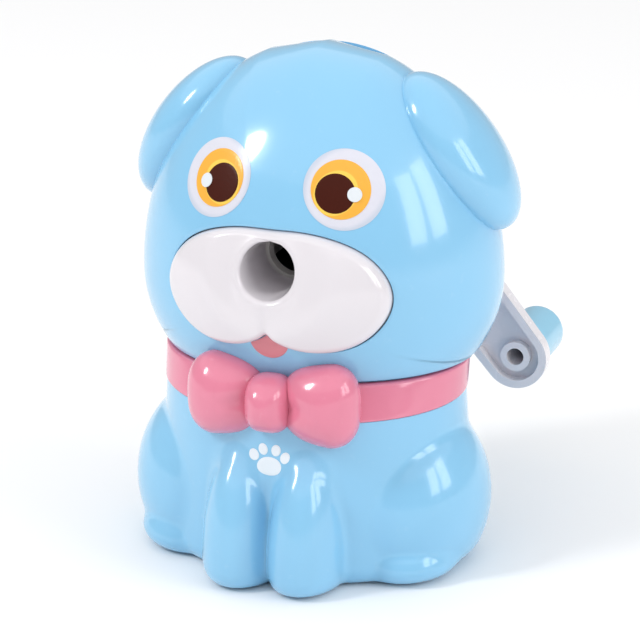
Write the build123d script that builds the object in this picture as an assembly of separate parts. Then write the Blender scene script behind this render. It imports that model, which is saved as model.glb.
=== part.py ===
from build123d import *
import math
import os

# A puppy-shaped crank pencil sharpener. Millimetres, +Z up, the face looks along -Y, and the
# origin is the middle of the underside, on the surface that it stands on.

# ---------------------------------------------------------------- levels
COLLAR_Z = 34.7           # lower edge of the collar
COLLAR_H = 7.0
DECK_Z = COLLAR_Z + COLLAR_H
HEAD_GAP = 0.5            # shadow gap between collar and head
HEAD_RIM_Z = DECK_Z + HEAD_GAP

# ---------------------------------------------------------------- head
HEAD_RX = 36.7            # half width of the egg-shaped head
HEAD_RY = 31.2            # half depth
HEAD_TOP = 46.0           # half height above the widest level
HEAD_LOW = 29.8           # half height below the widest level
HEAD_Y = 4.4              # middle of the head, front to back
HEAD_Z = DECK_Z + 14.9    # widest level of the head
HEAD_WALL = 2.0
SPLIT_Y = 12.0            # joint plane between the front and rear head shells
SPLIT_GAP = 0.3           # shadow gap at that joint
EAR_X, EAR_Y, EAR_Z = HEAD_RX - 9.5, 6.4, HEAD_Z + 26.0
EAR_RX, EAR_RY, EAR_RZ = 8.2, 13.6, 18.1
EAR_LEAN, EAR_PITCH, EAR_YAW = 35.4, 6.5, 10.5
EAR_WALL = 1.8

# ---------------------------------------------------------------- body
BODY_FLOOR = 0.5          # the shell ends this far above the surface, the pad carries it
BODY_WALL = 2.2
BODY_Y = 0.4              # middle of the round body, front to back
BODY_RX, BODY_RY = 32.9, 27.0      # at the bottom
COLLAR_RX, COLLAR_RY = 30.6, 26.6  # body at the collar's lower edge
NECK_RX, NECK_RY, NECK_Y = 31.2, 24.4, 1.2   # collar's upper edge
COLLAR_T = 1.6            # thickness of the collar band
HAUNCH_X, HAUNCH_Y, HAUNCH_Z = 20.5, -1.7, 13.0
HAUNCH_RX, HAUNCH_RY, HAUNCH_RZ = 16.4, 19.1, 19.7
FOOT_X, FOOT_Y, FOOT_Z = 23.0, -9.0, 3.0     # hind foot under each haunch
FOOT_RX, FOOT_RY, FOOT_RZ = 10.5, 12.0, 8.0
LEG_X, LEG_Y, LEG_Z = 6.8, -22.2, 6.0        # front legs
LEG_RX, LEG_RY, LEG_RZ = 7.3, 11.6, 23.0
SPIGOT_RX, SPIGOT_RY, SPIGOT_Y = 27.0, 20.6, 2.6   # tongue that the head drops over
SPIGOT_H = 4.0
SPIGOT_ROOT = 3.0         # how far it starts below the collar's upper edge
SPIGOT_WALL = 1.8
FIT_GAP = 0.3             # clearance of parts that only drop together
SEAT_GAP = 0.05           # clearance of faces that lie against each other
NECK_RING_LIFT, NECK_RING_TOP = 0.1, 3.0     # neck ring's faces above the head's rim
BAND_STEP = 0.3           # how far the collar band stands out of the body
BAND_GAP = 0.1            # band to neck
BAND_CLEAR = 0.2          # bow to body

# ---------------------------------------------------------------- underside
PLATE_RX, PLATE_RY, PLATE_T = 28.6, 22.6, 2.2
PLATE_Z = 1.4
PLATE_LEDGE = 2.0         # rim of the shell that the plate seats on
PAD_T = 1.4
PAD_INSET = 0.8
BASE_SCREW_X, BASE_SCREW_Y = 20.0, 12.5
BASE_BOSS_R, BASE_BOSS_H = 3.4, 12.0

# ---------------------------------------------------------------- face
MUZZLE_Y, MUZZLE_Z = 9.8, HEAD_Z + 2.9     # centre of the muzzle's bulge
MUZZLE_RX, MUZZLE_RY, MUZZLE_RZ = 36.0, 39.0, 29.0
MUZZLE_POINTS = ((3, 13.0), (11.5, 11.8), (18.8, 7.9), (22.6, -0.1),   # right half, top to
                 (18.6, -7.3), (10.2, -10.2), (0.5, -7.1))             # notch, from the centre
NOTCH_TANGENT = (-0.8, 0.62)       # direction in which each lobe runs up to the middle notch
MUZZLE_GAP = 0.25
MUZZLE_TONGUE = 2.0       # width of the flange behind the head shell
MUZZLE_FLANGE_T = 1.5
PENCIL_Z = HEAD_Z + 8.4   # height of the pencil's axis
PENCIL_R = 5.5            # pencil hole
GUIDE_R = PENCIL_R + 1.8  # outside of the pencil guide tube
GUIDE_LIP = 0.4           # how far the tube stands out of the muzzle
GUIDE_END_GAP = 0.1       # tube's end to the housing's inner face
EYE_X, EYE_Z = 13.0, HEAD_Z + 24.0
EYE_R = 7.8
IRIS_R, IRIS_SHIFT = 5.7, 0.6
PUPIL_R, PUPIL_X, PUPIL_Z = 3.8, EYE_X - 1.5, EYE_Z - 0.7
GLINT_R, GLINT_X, GLINT_Z = 1.4, EYE_X + 2.0, EYE_Z - 0.9
PRINT_T = 0.12            # thickness of one printed layer
TONGUE_R, TONGUE_Z = 4.0, MUZZLE_Z - 8.3
TONGUE_GAP = 0.1          # print to the muzzle's opening
PAW_Z = COLLAR_Z - 9.5    # middle of the paw print on the chest
PAW_PAD_RX, PAW_PAD_RZ = 2.5, 1.9
PAW_TOE_R = 0.95
PAW_TOE_LONG = 1.25       # toe's length over its width
PAW_TOE_ANGLES = (35, 70, 110, 145)
PAW_TOE_X, PAW_TOE_Z = 3.9, 3.6    # half sizes of the arc that the toes stand on

# ---------------------------------------------------------------- bow
BOW_Z = COLLAR_Z + 3.6
BOW_Y = -26.0
LOBE_X, LOBE_RX, LOBE_RY, LOBE_RZ = 10.2, 7.6, 6.6, 8.6
LOBE_BACK = 2.2           # lobes behind the knot
KNOT_RX, KNOT_RY, KNOT_RZ = 4.8, 6.4, 6.2

# ---------------------------------------------------------------- cutter mechanism
GEAR_MODULE = 0.8
RING_TEETH = 36
PINION_TEETH = 12
TOOTH_TIP = 0.5           # addendum
TOOTH_THICK = 1.0         # at the pitch circle
TOOTH_SLOPE = math.radians(20)
PINION_ROOT = 0.9
RING_ROOT = 1.4
TOOTH_SINK = 0.3          # how far a tooth's foot runs into its rim
CUTTER_TILT = 10.0
CUTTER_R = 4.5
CUTTER_LENGTH = 23.0
CUTTER_TEETH = 10
CUTTER_TWIST = 75
CUTTER_SAW = ((0.0, 1.0), (0.18, 1.0), (0.45, 0.80))   # share of a tooth's turn, share of the radius
MESH_Y = -6.8             # plane where pinion and ring gear mesh
PINION_W = 4.5
RING_W = 6.0
PIN_R = 1.5
PIN_CLEARANCE = 0.05
PITCH_RING = GEAR_MODULE * RING_TEETH / 2
PITCH_PINION = GEAR_MODULE * PINION_TEETH / 2
MESH_OFFSET = PITCH_RING - PITCH_PINION
RING_RIM = 1.55           # ring gear's rim behind its teeth
RING_R = PITCH_RING + RING_ROOT + RING_RIM
HOUSING_WALL = 1.8
HOUSING_BORE_R = RING_R + SEAT_GAP
HOUSING_R = HOUSING_BORE_R + HOUSING_WALL   # outside of the gear housing
HOUSING_FRONT_Y = -15.0
HOUSING_REAR_Y = 24.3
CHUTE_X, CHUTE_Y0, CHUTE_Y1 = 10.0, -3.0, 20.0    # opening for the shavings
LUG_X, LUG_Z = HOUSING_R + 1.3, 9.5         # screw lugs, from the pencil axis
LUG_Y, LUG_T, LUG_R = 11.5, 2.5, 3.4
LUG_POST_STEP = 0.4       # posts behind the lugs are this much slimmer
WEB_X, WEB_W = 0.85, 0.3  # web between lug and casing, in shares of the lug's distance
CARRIER_R = PITCH_RING - TOOTH_TIP - 1.3
CARRIER_FRONT_T = 2.4
CARRIER_REAR_T = 2.6
CARRIER_END_GAP = 0.4
CARRIER_BAR_T = 3.6       # how deep the side bars reach in from the discs' edge
CARRIER_BAR_STEP = 0.2    # bars inside the discs' edge
CARRIER_BAR_REACH, CARRIER_BAR_UP, CARRIER_BAR_DOWN = 20.0, 7.0, 12.0   # their wedge
TIP_HOLE_R = PENCIL_R - 0.5        # hole that the pencil's tip passes through
PIN_INSET = 0.5           # cutter pin's ends below the discs' outer faces
PRESS_GAP = 0.02          # clearance of parts that are pressed together
SHAFT_SEAT = 1.55         # depth of the crank shaft in the rear disc
SHAFT_R = 2.5
SHAFT_CLEARANCE = 0.05
BUSH_R = 4.0
BUSH_FLANGE_R, BUSH_FLANGE_T = 5.4, 0.8
BOSS_R = 6.4              # bearing boss on the housing's rear wall
BOSS_END_Y = 35.2

# ---------------------------------------------------------------- crank
ARM_Y = 40.0              # face of the arm that looks at the head
ARM_T = 4.0
ARM_RIM = 1.7
ARM_TRAY = 2.4
ARM_LENGTH = 47.0
ARM_ANGLE = -50.0         # direction of the arm at rest, from +X towards +Z
ARM_HUB_R, ARM_KNOB_R = 8.0, 6.9
HUB_R = 6.2
HUB_GAP = 0.4
POST_R = 3.2
POST_BORE_R = 1.85
POST_LENGTH = 14.0
POST_RECESS = 0.4         # post's foot below the arm's rim
ARM_EDGE = 0.8            # rounding of the arm's outer edge
ARM_PILOT = 4.0           # arm screw's hole in the shaft, from the arm's inner face
KNOB_R = 5.6
KNOB_CLEARANCE = 0.06
KNOB_GAP = 0.3
KNOB_LENGTH = 16.0
KNOB_EDGE = 2.0

# ---------------------------------------------------------------- fasteners
SCREW_R = 1.25
SCREW_HEAD_R = 2.4
SCREW_HEAD_T = 1.7
SCREW_FIT = 0.05
SCREW_ROOM = 0.2          # clearance round a sunk head
CROSS_L, CROSS_W, CROSS_DEEP = 3.2, 0.6, 1.6       # cross recess, cut half as deep
HEAD_SCREW_L, LUG_SCREW_L, ARM_SCREW_L = 12, 9, 7
HEAD_PILOT = 10.0
BASE_SEAT = 0.7           # how much less than its height a base screw's head is sunk
BASE_SCREW_END = 8.0      # shank's reach above the base plate
BASE_PILOT_END = 2.0      # closed top of the base bosses
HEAD_SCREWS = ((HEAD_RX - 8.2, HEAD_Z + 5.4), (9.0, HEAD_Z + 35.4))   # x and z, on both sides
HEAD_BOSS_R = 3.3
HEAD_SCREW_SEAT_Y = 15.6

POLE_ANGLE = 86.0         # ellipsoids end in small flats at this latitude
BIG = 400.0
PAST = 1.0                # how far a cut runs past the face that it opens


# ---------------------------------------------------------------- helpers
def save(node, shape):
    """Write one node as parts/NODE.step."""
    shape.label = node
    export_step(shape, f"parts/{node}.step")


def slab(axis, low, high):
    """Everything between two values of one axis, as a large block."""
    size = [BIG, BIG, BIG]
    centre = [0.0, 0.0, 0.0]
    index = "xyz".index(axis)
    size[index] = high - low
    centre[index] = (low + high) / 2
    return Pos(*centre) * Box(*size)


def rod(y0, y1, radius, x=0.0, z=0.0):
    """Round bar along Y between two depths."""
    return Pos(x, (y0 + y1) / 2, z) * Rot(X=90) * Cylinder(radius, y1 - y0)


def pillar(z0, z1, radius, x=0.0, y=0.0):
    """Upright round bar."""
    return Pos(x, y, (z0 + z1) / 2) * Cylinder(radius, z1 - z0)


def ellipsoid(rx, ry, rz, low=None):
    """Ellipsoid with a small flat at each pole; low is its height below the middle, if it differs."""
    upper = EllipticalCenterArc((0, 0), rx, rz, start_angle=0, arc_size=POLE_ANGLE)
    lower = EllipticalCenterArc((0, 0), rx, low or rz, start_angle=-POLE_ANGLE, arc_size=POLE_ANGLE)
    ends = Polyline(upper @ 1, (0, (upper @ 1).Y), (0, (lower @ 0).Y), lower @ 0)
    whole = revolve(Plane.XZ * make_face([upper, ends, lower]), Axis.Z)
    return scale(whole, by=(1, ry / rx, 1))


def both_sides(shape):
    """The shape and its mirror image across the middle plane."""
    return [shape, mirror(shape, about=Plane.YZ)]


def fuse(shapes):
    """One solid from several that run into each other."""
    shapes = list(shapes)
    whole = shapes[0]
    for shape in shapes[1:]:
        whole = whole + shape
    return whole


def group(shapes):
    """Separate solids kept in one node."""
    return Compound(children=[solid for shape in shapes for solid in shape.solids()])


def ellipse_loft(low, high):
    """Straight-sided column between two ellipses, each (rx, ry, y, z)."""
    sections = [Pos(0, y, z) * Ellipse(rx, ry) for rx, ry, y, z in (low, high)]
    return loft(sections, ruled=True)


def screws_y(places, seat_y, length, direction):
    """Pan-head screws along Y: heads on seat_y, shanks running in the given direction."""
    screws = []
    for x, z in places:
        head = rod(*sorted((seat_y, seat_y - direction * SCREW_HEAD_T)), SCREW_HEAD_R, x, z)
        shank = rod(*sorted((seat_y, seat_y + direction * length)), SCREW_R, x, z)
        top = Pos(x, seat_y - direction * SCREW_HEAD_T, z)
        screw = head + shank - top * Box(CROSS_L, CROSS_DEEP, CROSS_W)
        screws.append(screw - top * Box(CROSS_W, CROSS_DEEP, CROSS_L))
    return screws


# ---------------------------------------------------------------- head shapes
def head_form(grow=0.0):
    """Egg: two half ellipsoids that share their widest level, grown or shrunk all round."""
    egg = ellipsoid(HEAD_RX + grow, HEAD_RY + grow, HEAD_TOP + grow, HEAD_LOW + grow)
    return Pos(0, HEAD_Y, HEAD_Z) * egg


def ears(grow=0.0):
    """Flopped ears: flattened ellipsoids that lean out towards their tips."""
    turn = Rot(Z=EAR_YAW) * Rot(Y=-EAR_LEAN) * Rot(X=EAR_PITCH)
    ear = Pos(EAR_X, EAR_Y, EAR_Z) * turn * ellipsoid(EAR_RX + grow, EAR_RY + grow, EAR_RZ + grow)
    return both_sides(ear)


def muzzle_outline(grow=0.0):
    """Front view of the muzzle: a flat top, round cheeks and two lobes that meet in a notch."""
    points = [Vector(x, MUZZLE_Z + z) for x, z in MUZZLE_POINTS]
    moved = [points[0] + Vector(0, grow)]
    for before, here, after in zip(points, points[1:], points[2:]):
        along = (after - before).normalized()
        moved.append(here + Vector(-along.Y, along.X) * grow)
    moved.append(points[-1] + Vector(0, grow / NOTCH_TANGENT[0]))
    half = Spline(moved, tangents=[(1, 0), NOTCH_TANGENT])
    other = mirror(half, about=Plane.YZ)
    return make_face([half, Line(half @ 1, other @ 1), other, Line(other @ 0, half @ 0)])


def front_prism(sketch, depth=60.0):
    """A front-view sketch run forward from the middle plane."""
    return extrude(Plane.XZ * sketch, depth, dir=(0, -1, 0))


def head_screw_places():
    return [(side * x, z) for x, z in HEAD_SCREWS for side in (1, -1)]


def lug_places():
    return [(sx * LUG_X, PENCIL_Z + sz * LUG_Z) for sx in (1, -1) for sz in (1, -1)]


def head_front_shell():
    front = slab("y", -BIG / 2, SPLIT_Y) & slab("z", HEAD_RIM_Z, BIG / 2)
    shell = fuse([head_form() & front] + ears())
    shell = shell - head_form(-HEAD_WALL)
    for hollow in ears(-EAR_WALL):
        shell = shell - hollow
    shell = shell & slab("z", HEAD_RIM_Z, BIG / 2)
    shell = shell - front_prism(muzzle_outline(MUZZLE_GAP))
    shell = shell - rod(-BIG / 2, 0, GUIDE_R + MUZZLE_GAP, z=PENCIL_Z)
    inside = head_form(-HEAD_WALL / 2)
    for x, z in head_screw_places():
        post = rod(HEAD_Y - HEAD_RY, SPLIT_Y, HEAD_BOSS_R, x, z) & inside
        shell = shell + post - rod(SPLIT_Y - HEAD_PILOT, SPLIT_Y, SCREW_R + SCREW_FIT, x, z)
    return shell


def head_rear_shell():
    rear = slab("y", SPLIT_Y + SPLIT_GAP, BIG / 2) & slab("z", HEAD_RIM_Z, BIG / 2)
    shell = (head_form() - head_form(-HEAD_WALL)) & rear
    for ear in ears(FIT_GAP):
        shell = shell - ear
    inside = head_form(-HEAD_WALL / 2)
    for x, z in head_screw_places():
        post = rod(SPLIT_Y + SPLIT_GAP, HEAD_Y + HEAD_RY, HEAD_BOSS_R, x, z) & inside
        for ear in ears(FIT_GAP):
            post = post - ear
        shell = shell + post
        shell = shell - rod(HEAD_SCREW_SEAT_Y, BIG / 2, SCREW_HEAD_R + SCREW_ROOM, x, z)
        shell = shell - rod(SPLIT_Y, HEAD_SCREW_SEAT_Y, SCREW_R + FIT_GAP, x, z)
    lug_back = LUG_Y + LUG_T
    for x, z in lug_places():
        post = rod(lug_back, HEAD_Y + HEAD_RY, LUG_R - LUG_POST_STEP, x, z) & inside
        shell = shell + post - rod(lug_back, lug_back + LUG_SCREW_L, SCREW_R + SCREW_FIT, x, z)
    return shell - rod(SPLIT_Y, BIG / 2, BOSS_R + FIT_GAP, z=PENCIL_Z)


def muzzle_plate():
    """White muzzle: a bulging plate, a flange behind the head shell and the pencil's guide tube."""
    bulge = Pos(0, MUZZLE_Y, MUZZLE_Z) * ellipsoid(MUZZLE_RX, MUZZLE_RY, MUZZLE_RZ)
    plate = bulge & front_prism(muzzle_outline())
    flange = head_form(-HEAD_WALL - SEAT_GAP) & front_prism(muzzle_outline(MUZZLE_TONGUE))
    plate = (plate + flange) - head_form(-HEAD_WALL - MUZZLE_FLANGE_T)
    front_y = MUZZLE_Y - MUZZLE_RY * math.sqrt(1 - ((PENCIL_Z - MUZZLE_Z) / MUZZLE_RZ) ** 2)
    back_y = HOUSING_FRONT_Y + HOUSING_WALL - GUIDE_END_GAP
    guide = rod(front_y - GUIDE_LIP, back_y, GUIDE_R, z=PENCIL_Z)
    return plate + guide - rod(-BIG / 2, 0, PENCIL_R, z=PENCIL_Z)


def head_print(sketch, layer):
    """A front-view sketch printed on the head, as the given layer of ink."""
    skin = head_form((layer + 1) * PRINT_T) - head_form(layer * PRINT_T)
    return skin & front_prism(sketch)


def eye_layer(x, z, radius, layer):
    """The same disc on both eyes, round when looked at square to the head."""
    lean_x, lean_z = x / HEAD_RX ** 2, (z - HEAD_Z) / HEAD_TOP ** 2
    depth = math.sqrt(1 - (x / HEAD_RX) ** 2 - ((z - HEAD_Z) / HEAD_TOP) ** 2) / HEAD_RY
    squeeze_x = depth / math.hypot(depth, lean_x)
    squeeze_z = depth / math.hypot(depth, lean_z)
    disc = Pos(x, z) * Ellipse(radius * squeeze_x, radius * squeeze_z)
    return group([head_print(side, layer) for side in (disc, mirror(disc, about=Plane.YZ))])


def tongue_print():
    tongue = Pos(0, TONGUE_Z) * Circle(TONGUE_R) - muzzle_outline(MUZZLE_GAP + TONGUE_GAP)
    return head_print(tongue, 0)


def neck_ring():
    """Plate that closes the head round the spigot and slides down over it."""
    level = slab("z", HEAD_RIM_Z + NECK_RING_LIFT, HEAD_RIM_Z + NECK_RING_TOP)
    hole = Pos(0, SPIGOT_Y, HEAD_RIM_Z) * Ellipse(SPIGOT_RX + FIT_GAP, SPIGOT_RY + FIT_GAP)
    return (head_form(-HEAD_WALL - SEAT_GAP) & level) - extrude(hole, NECK_RING_TOP + PAST)


# ---------------------------------------------------------------- body shapes
def body_form(inset=0.0):
    """Round body, haunches, hind feet and front legs, all shrunk by the inset."""
    column = ellipse_loft(
        (BODY_RX - inset, BODY_RY - inset, BODY_Y, 0),
        (COLLAR_RX - inset, COLLAR_RY - inset, BODY_Y, COLLAR_Z),
    )
    haunch = Pos(HAUNCH_X, HAUNCH_Y, HAUNCH_Z) * ellipsoid(
        HAUNCH_RX - inset, HAUNCH_RY - inset, HAUNCH_RZ - inset)
    foot = Pos(FOOT_X, FOOT_Y, FOOT_Z) * ellipsoid(FOOT_RX - inset, FOOT_RY - inset, FOOT_RZ - inset)
    leg = Pos(LEG_X, LEG_Y, LEG_Z) * ellipsoid(LEG_RX - inset, LEG_RY - inset, LEG_RZ - inset)
    lumps = both_sides(haunch) + both_sides(foot) + both_sides(leg)
    return fuse([column] + lumps)


def plate_hole(grow=0.0):
    return Ellipse(PLATE_RX + grow, PLATE_RY + grow)


def base_screw_places():
    return [(sx * BASE_SCREW_X, BODY_Y + sy * BASE_SCREW_Y) for sx in (1, -1) for sy in (1, -1)]


def base_seat():
    """Height at which the base screws' heads bear on the plate."""
    return PLATE_Z + SCREW_HEAD_T - BASE_SEAT


def body_shell():
    outside = body_form() & slab("z", BODY_FLOOR, COLLAR_Z)
    neck = ellipse_loft(
        (COLLAR_RX - COLLAR_T, COLLAR_RY - COLLAR_T, BODY_Y, COLLAR_Z - PAST),
        (NECK_RX - COLLAR_T, NECK_RY - COLLAR_T, NECK_Y, DECK_Z),
    )
    spigot_top = DECK_Z + SPIGOT_H
    foot_z = DECK_Z - SPIGOT_ROOT
    spigot = extrude(Pos(0, SPIGOT_Y, foot_z) * Ellipse(SPIGOT_RX, SPIGOT_RY), spigot_top - foot_z)
    shell = outside + neck + spigot
    ceiling = COLLAR_Z - BODY_WALL
    floor = PLATE_Z + PLATE_T + PLATE_LEDGE
    shell = shell - (body_form(BODY_WALL) & slab("z", floor, ceiling))
    throat = Ellipse(SPIGOT_RX - SPIGOT_WALL, SPIGOT_RY - SPIGOT_WALL)
    shell = shell - extrude(Pos(0, SPIGOT_Y, ceiling - PAST) * throat, spigot_top)
    shell = shell - extrude(Pos(0, BODY_Y, 0) * plate_hole(), PLATE_Z + PLATE_T)
    shell = shell - extrude(Pos(0, BODY_Y, 0) * plate_hole(-PLATE_LEDGE), floor + PAST)
    top = PLATE_Z + PLATE_T + BASE_BOSS_H
    for x, y in base_screw_places():
        shell = shell + pillar(PLATE_Z + PLATE_T, top, BASE_BOSS_R, x, y)
        shell = shell - pillar(PLATE_Z, top - BASE_PILOT_END, SCREW_R + SCREW_FIT, x, y)
    return shell


def base_plate():
    plate = extrude(Pos(0, BODY_Y, PLATE_Z) * plate_hole(-FIT_GAP), PLATE_T)
    for x, y in base_screw_places():
        plate = plate - pillar(0, PLATE_Z + PLATE_T + PAST, SCREW_R + FIT_GAP, x, y)
        plate = plate - pillar(0, base_seat(), SCREW_HEAD_R + SCREW_ROOM, x, y)
    return plate


def base_pad():
    pad = extrude(Pos(0, BODY_Y, 0) * plate_hole(-PAD_INSET), PAD_T)
    for x, y in base_screw_places():
        pad = pad - pillar(-PAST, PAD_T + PAST, SCREW_HEAD_R + 2 * FIT_GAP, x, y)
    return pad


def base_screws():
    seat = base_seat()
    screws = []
    for x, y in base_screw_places():
        screw = pillar(seat - SCREW_HEAD_T, seat, SCREW_HEAD_R, x, y)
        screw = screw + pillar(seat, PLATE_Z + PLATE_T + BASE_SCREW_END, SCREW_R, x, y)
        for across in ((CROSS_L, CROSS_W), (CROSS_W, CROSS_L)):
            screw = screw - Pos(x, y, seat - SCREW_HEAD_T) * Box(*across, CROSS_DEEP)
        screws.append(screw)
    return screws


def collar_bow():
    """Collar band with its bow moulded on: two lobes and a knot that bulge forward."""
    outside = ellipse_loft((COLLAR_RX + BAND_STEP, COLLAR_RY + BAND_STEP, BODY_Y, COLLAR_Z),
                           (NECK_RX, NECK_RY, NECK_Y, DECK_Z))
    lobe = Pos(LOBE_X, BOW_Y + LOBE_BACK, BOW_Z) * ellipsoid(LOBE_RX, LOBE_RY, LOBE_RZ)
    knot = Pos(0, BOW_Y, BOW_Z) * ellipsoid(KNOT_RX, KNOT_RY, KNOT_RZ)
    band = fuse([outside] + both_sides(lobe) + [knot])
    thin = COLLAR_T - BAND_GAP
    band = band - ellipse_loft(
        (COLLAR_RX - thin, COLLAR_RY - thin, BODY_Y, COLLAR_Z - PAST),
        (NECK_RX - thin, NECK_RY - thin, NECK_Y, DECK_Z),
    )
    below = ellipse_loft((BODY_RX + BAND_CLEAR, BODY_RY + BAND_CLEAR, BODY_Y, 0),
                         (COLLAR_RX + BAND_CLEAR, COLLAR_RY + BAND_CLEAR, BODY_Y, COLLAR_Z))
    above = slab("z", DECK_Z, BIG / 2) & slab("y", NECK_Y - NECK_RY, BIG / 2)
    head = head_form(HEAD_GAP) & slab("z", DECK_Z, BIG / 2)
    return band - below - above - head


def chest_print():
    """A small paw print: one pad and four toes."""
    pad = Pos(0, PAW_Z) * Ellipse(PAW_PAD_RX, PAW_PAD_RZ)
    marks = [pad]
    for angle in PAW_TOE_ANGLES:
        x = PAW_TOE_X * math.cos(math.radians(angle))
        z = PAW_Z + PAW_TOE_Z * math.sin(math.radians(angle))
        toe = Ellipse(PAW_TOE_R, PAW_TOE_R * PAW_TOE_LONG, rotation=(angle - 90) / 2)
        marks.append(Pos(x, z) * toe)
    rims = [ellipse_loft((BODY_RX + g, BODY_RY + g, BODY_Y, 0),
                         (COLLAR_RX + g, COLLAR_RY + g, BODY_Y, COLLAR_Z)) for g in (PRINT_T, 0)]
    skin = rims[0] - rims[1]
    return group([skin & front_prism(mark) for mark in marks])


# ---------------------------------------------------------------- mechanism
CARRIER_FRONT_Y = HOUSING_FRONT_Y + HOUSING_WALL + CARRIER_END_GAP
CARRIER_REAR_Y = HOUSING_REAR_Y - HOUSING_WALL - CARRIER_END_GAP
TILT = math.radians(CUTTER_TILT)
CUTTER_PLACE = Pos(0, MESH_Y, PENCIL_Z + MESH_OFFSET) * Rot(X=-90 - CUTTER_TILT)


def tooth(pitch_radius, inner, outer, grow_outward, angle):
    """One straight-flanked gear tooth between two radii, as a front-view face."""
    corners = []
    for radius, side in ((inner, -1), (outer, -1), (outer, 1), (inner, 1)):
        change = (radius - pitch_radius) * math.tan(TOOTH_SLOPE) * grow_outward
        half = TOOTH_THICK / 2 + change
        turn = angle + side * half / radius
        corners.append((radius * math.cos(turn), radius * math.sin(turn)))
    return make_face(Polyline(*corners, close=True))


def ring_gear():
    rim = Circle(RING_R) - Circle(PITCH_RING + RING_ROOT)
    for i in range(RING_TEETH):
        angle = 2 * math.pi * i / RING_TEETH + math.pi / 2
        rim = rim + tooth(PITCH_RING, PITCH_RING - TOOTH_TIP, PITCH_RING + RING_ROOT + TOOTH_SINK, 1, angle)
    gear = extrude(Plane.XZ * rim, RING_W / 2, both=True)
    return Pos(0, MESH_Y, PENCIL_Z) * gear


def cutter_pinion():
    """Gear on the cutter's front end; its teeth stand in the ring gear's gaps at rest."""
    root = PITCH_PINION - PINION_ROOT
    disc = Circle(root)
    for i in range(PINION_TEETH):
        angle = 2 * math.pi * (i + 0.5) / PINION_TEETH + math.pi / 2
        disc = disc + tooth(PITCH_PINION, root - TOOTH_SINK, PITCH_PINION + TOOTH_TIP, -1, angle)
    disc = disc - Circle(PIN_R + PIN_CLEARANCE)
    return CUTTER_PLACE * extrude(disc, PINION_W / 2, both=True)


def helical_cutter():
    """Steel burr: saw teeth twisted along the cutter's own axis."""
    points = []
    for i in range(CUTTER_TEETH):
        start = 2 * math.pi * i / CUTTER_TEETH
        for part, share in CUTTER_SAW:
            turn = start + part * 2 * math.pi / CUTTER_TEETH
            points.append((CUTTER_R * share * math.cos(turn), CUTTER_R * share * math.sin(turn)))
    profile = make_face(Polyline(*points, close=True))
    start = PINION_W / 2
    burr = Solid.extrude_linear_with_rotation(
        profile.face(), (0, 0, 0), (0, 0, CUTTER_LENGTH), CUTTER_TWIST)
    burr = Part() + burr - Cylinder(PIN_R + PIN_CLEARANCE, BIG)
    return CUTTER_PLACE * Pos(0, 0, start) * burr


def along_cutter(y):
    """Distance along the cutter's axis where it passes the given depth."""
    return (y - MESH_Y) / math.cos(TILT)


def pin_bar(radius, y0, y1):
    """Round bar on the cutter's axis between two depths."""
    start, end = along_cutter(y0), along_cutter(y1)
    return CUTTER_PLACE * Pos(0, 0, (start + end) / 2) * Cylinder(radius, end - start)


def cutter_pin():
    return pin_bar(PIN_R, CARRIER_FRONT_Y + PIN_INSET, CARRIER_REAR_Y - PIN_INSET)


def cutter_carrier():
    """Turning frame: two discs tied by side bars, with the cutter's pin between them."""
    front = rod(CARRIER_FRONT_Y, CARRIER_FRONT_Y + CARRIER_FRONT_T, CARRIER_R, z=PENCIL_Z)
    rear = rod(CARRIER_REAR_Y - CARRIER_REAR_T, CARRIER_REAR_Y, CARRIER_R, z=PENCIL_Z)
    corners = ((0, 0), (CARRIER_BAR_REACH, CARRIER_BAR_UP), (CARRIER_BAR_REACH, -CARRIER_BAR_DOWN))
    wedge = make_face(Polyline(*corners, close=True))
    sector = (Circle(CARRIER_R - CARRIER_BAR_STEP) - Circle(CARRIER_R - CARRIER_BAR_T)) & wedge
    bars = []
    for side in (sector, mirror(sector, about=Plane.YZ)):
        bar = extrude(Plane.XZ * side, CARRIER_REAR_Y - CARRIER_FRONT_Y)
        bars.append(Pos(0, CARRIER_REAR_Y, PENCIL_Z) * bar)
    frame = fuse([front, rear] + bars)
    front_end = CARRIER_FRONT_Y + CARRIER_FRONT_T
    frame = frame - rod(CARRIER_FRONT_Y - PAST, front_end + PAST, TIP_HOLE_R, z=PENCIL_Z)
    seat_y = CARRIER_REAR_Y - SHAFT_SEAT - SEAT_GAP
    frame = frame - rod(seat_y, CARRIER_REAR_Y + PAST, SHAFT_R + PRESS_GAP, z=PENCIL_Z)
    end = PIN_INSET - SEAT_GAP
    return frame - pin_bar(PIN_R + PRESS_GAP, CARRIER_FRONT_Y + end, CARRIER_REAR_Y - end)


def gear_housing():
    """Round casing fixed inside the head, open below so that the shavings fall out."""
    casing = rod(HOUSING_FRONT_Y, HOUSING_REAR_Y, HOUSING_R, z=PENCIL_Z)
    for x, z in lug_places():
        lug = rod(LUG_Y, LUG_Y + LUG_T, LUG_R, x, z)
        web = Pos(x * WEB_X, LUG_Y + LUG_T / 2, z) * Box(abs(x) * WEB_W, LUG_T, 2 * LUG_R)
        casing = casing + web + lug
    casing = casing + rod(HOUSING_REAR_Y, BOSS_END_Y, BOSS_R, z=PENCIL_Z)
    inner_y = HOUSING_FRONT_Y + HOUSING_WALL
    casing = casing - rod(inner_y, HOUSING_REAR_Y - HOUSING_WALL, HOUSING_BORE_R, z=PENCIL_Z)
    casing = casing - rod(-BIG / 2, 0, GUIDE_R + FIT_GAP / 2, z=PENCIL_Z)
    casing = casing - rod(0, BIG / 2, BUSH_R + PRESS_GAP, z=PENCIL_Z)
    for x, z in lug_places():
        casing = casing - rod(LUG_Y - PAST, LUG_Y + LUG_T + PAST, SCREW_R + FIT_GAP, x, z)
    chute = Pos(0, (CHUTE_Y0 + CHUTE_Y1) / 2, PENCIL_Z - HOUSING_R) * Box(
        2 * CHUTE_X, CHUTE_Y1 - CHUTE_Y0, HOUSING_R)
    return casing - chute


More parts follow.
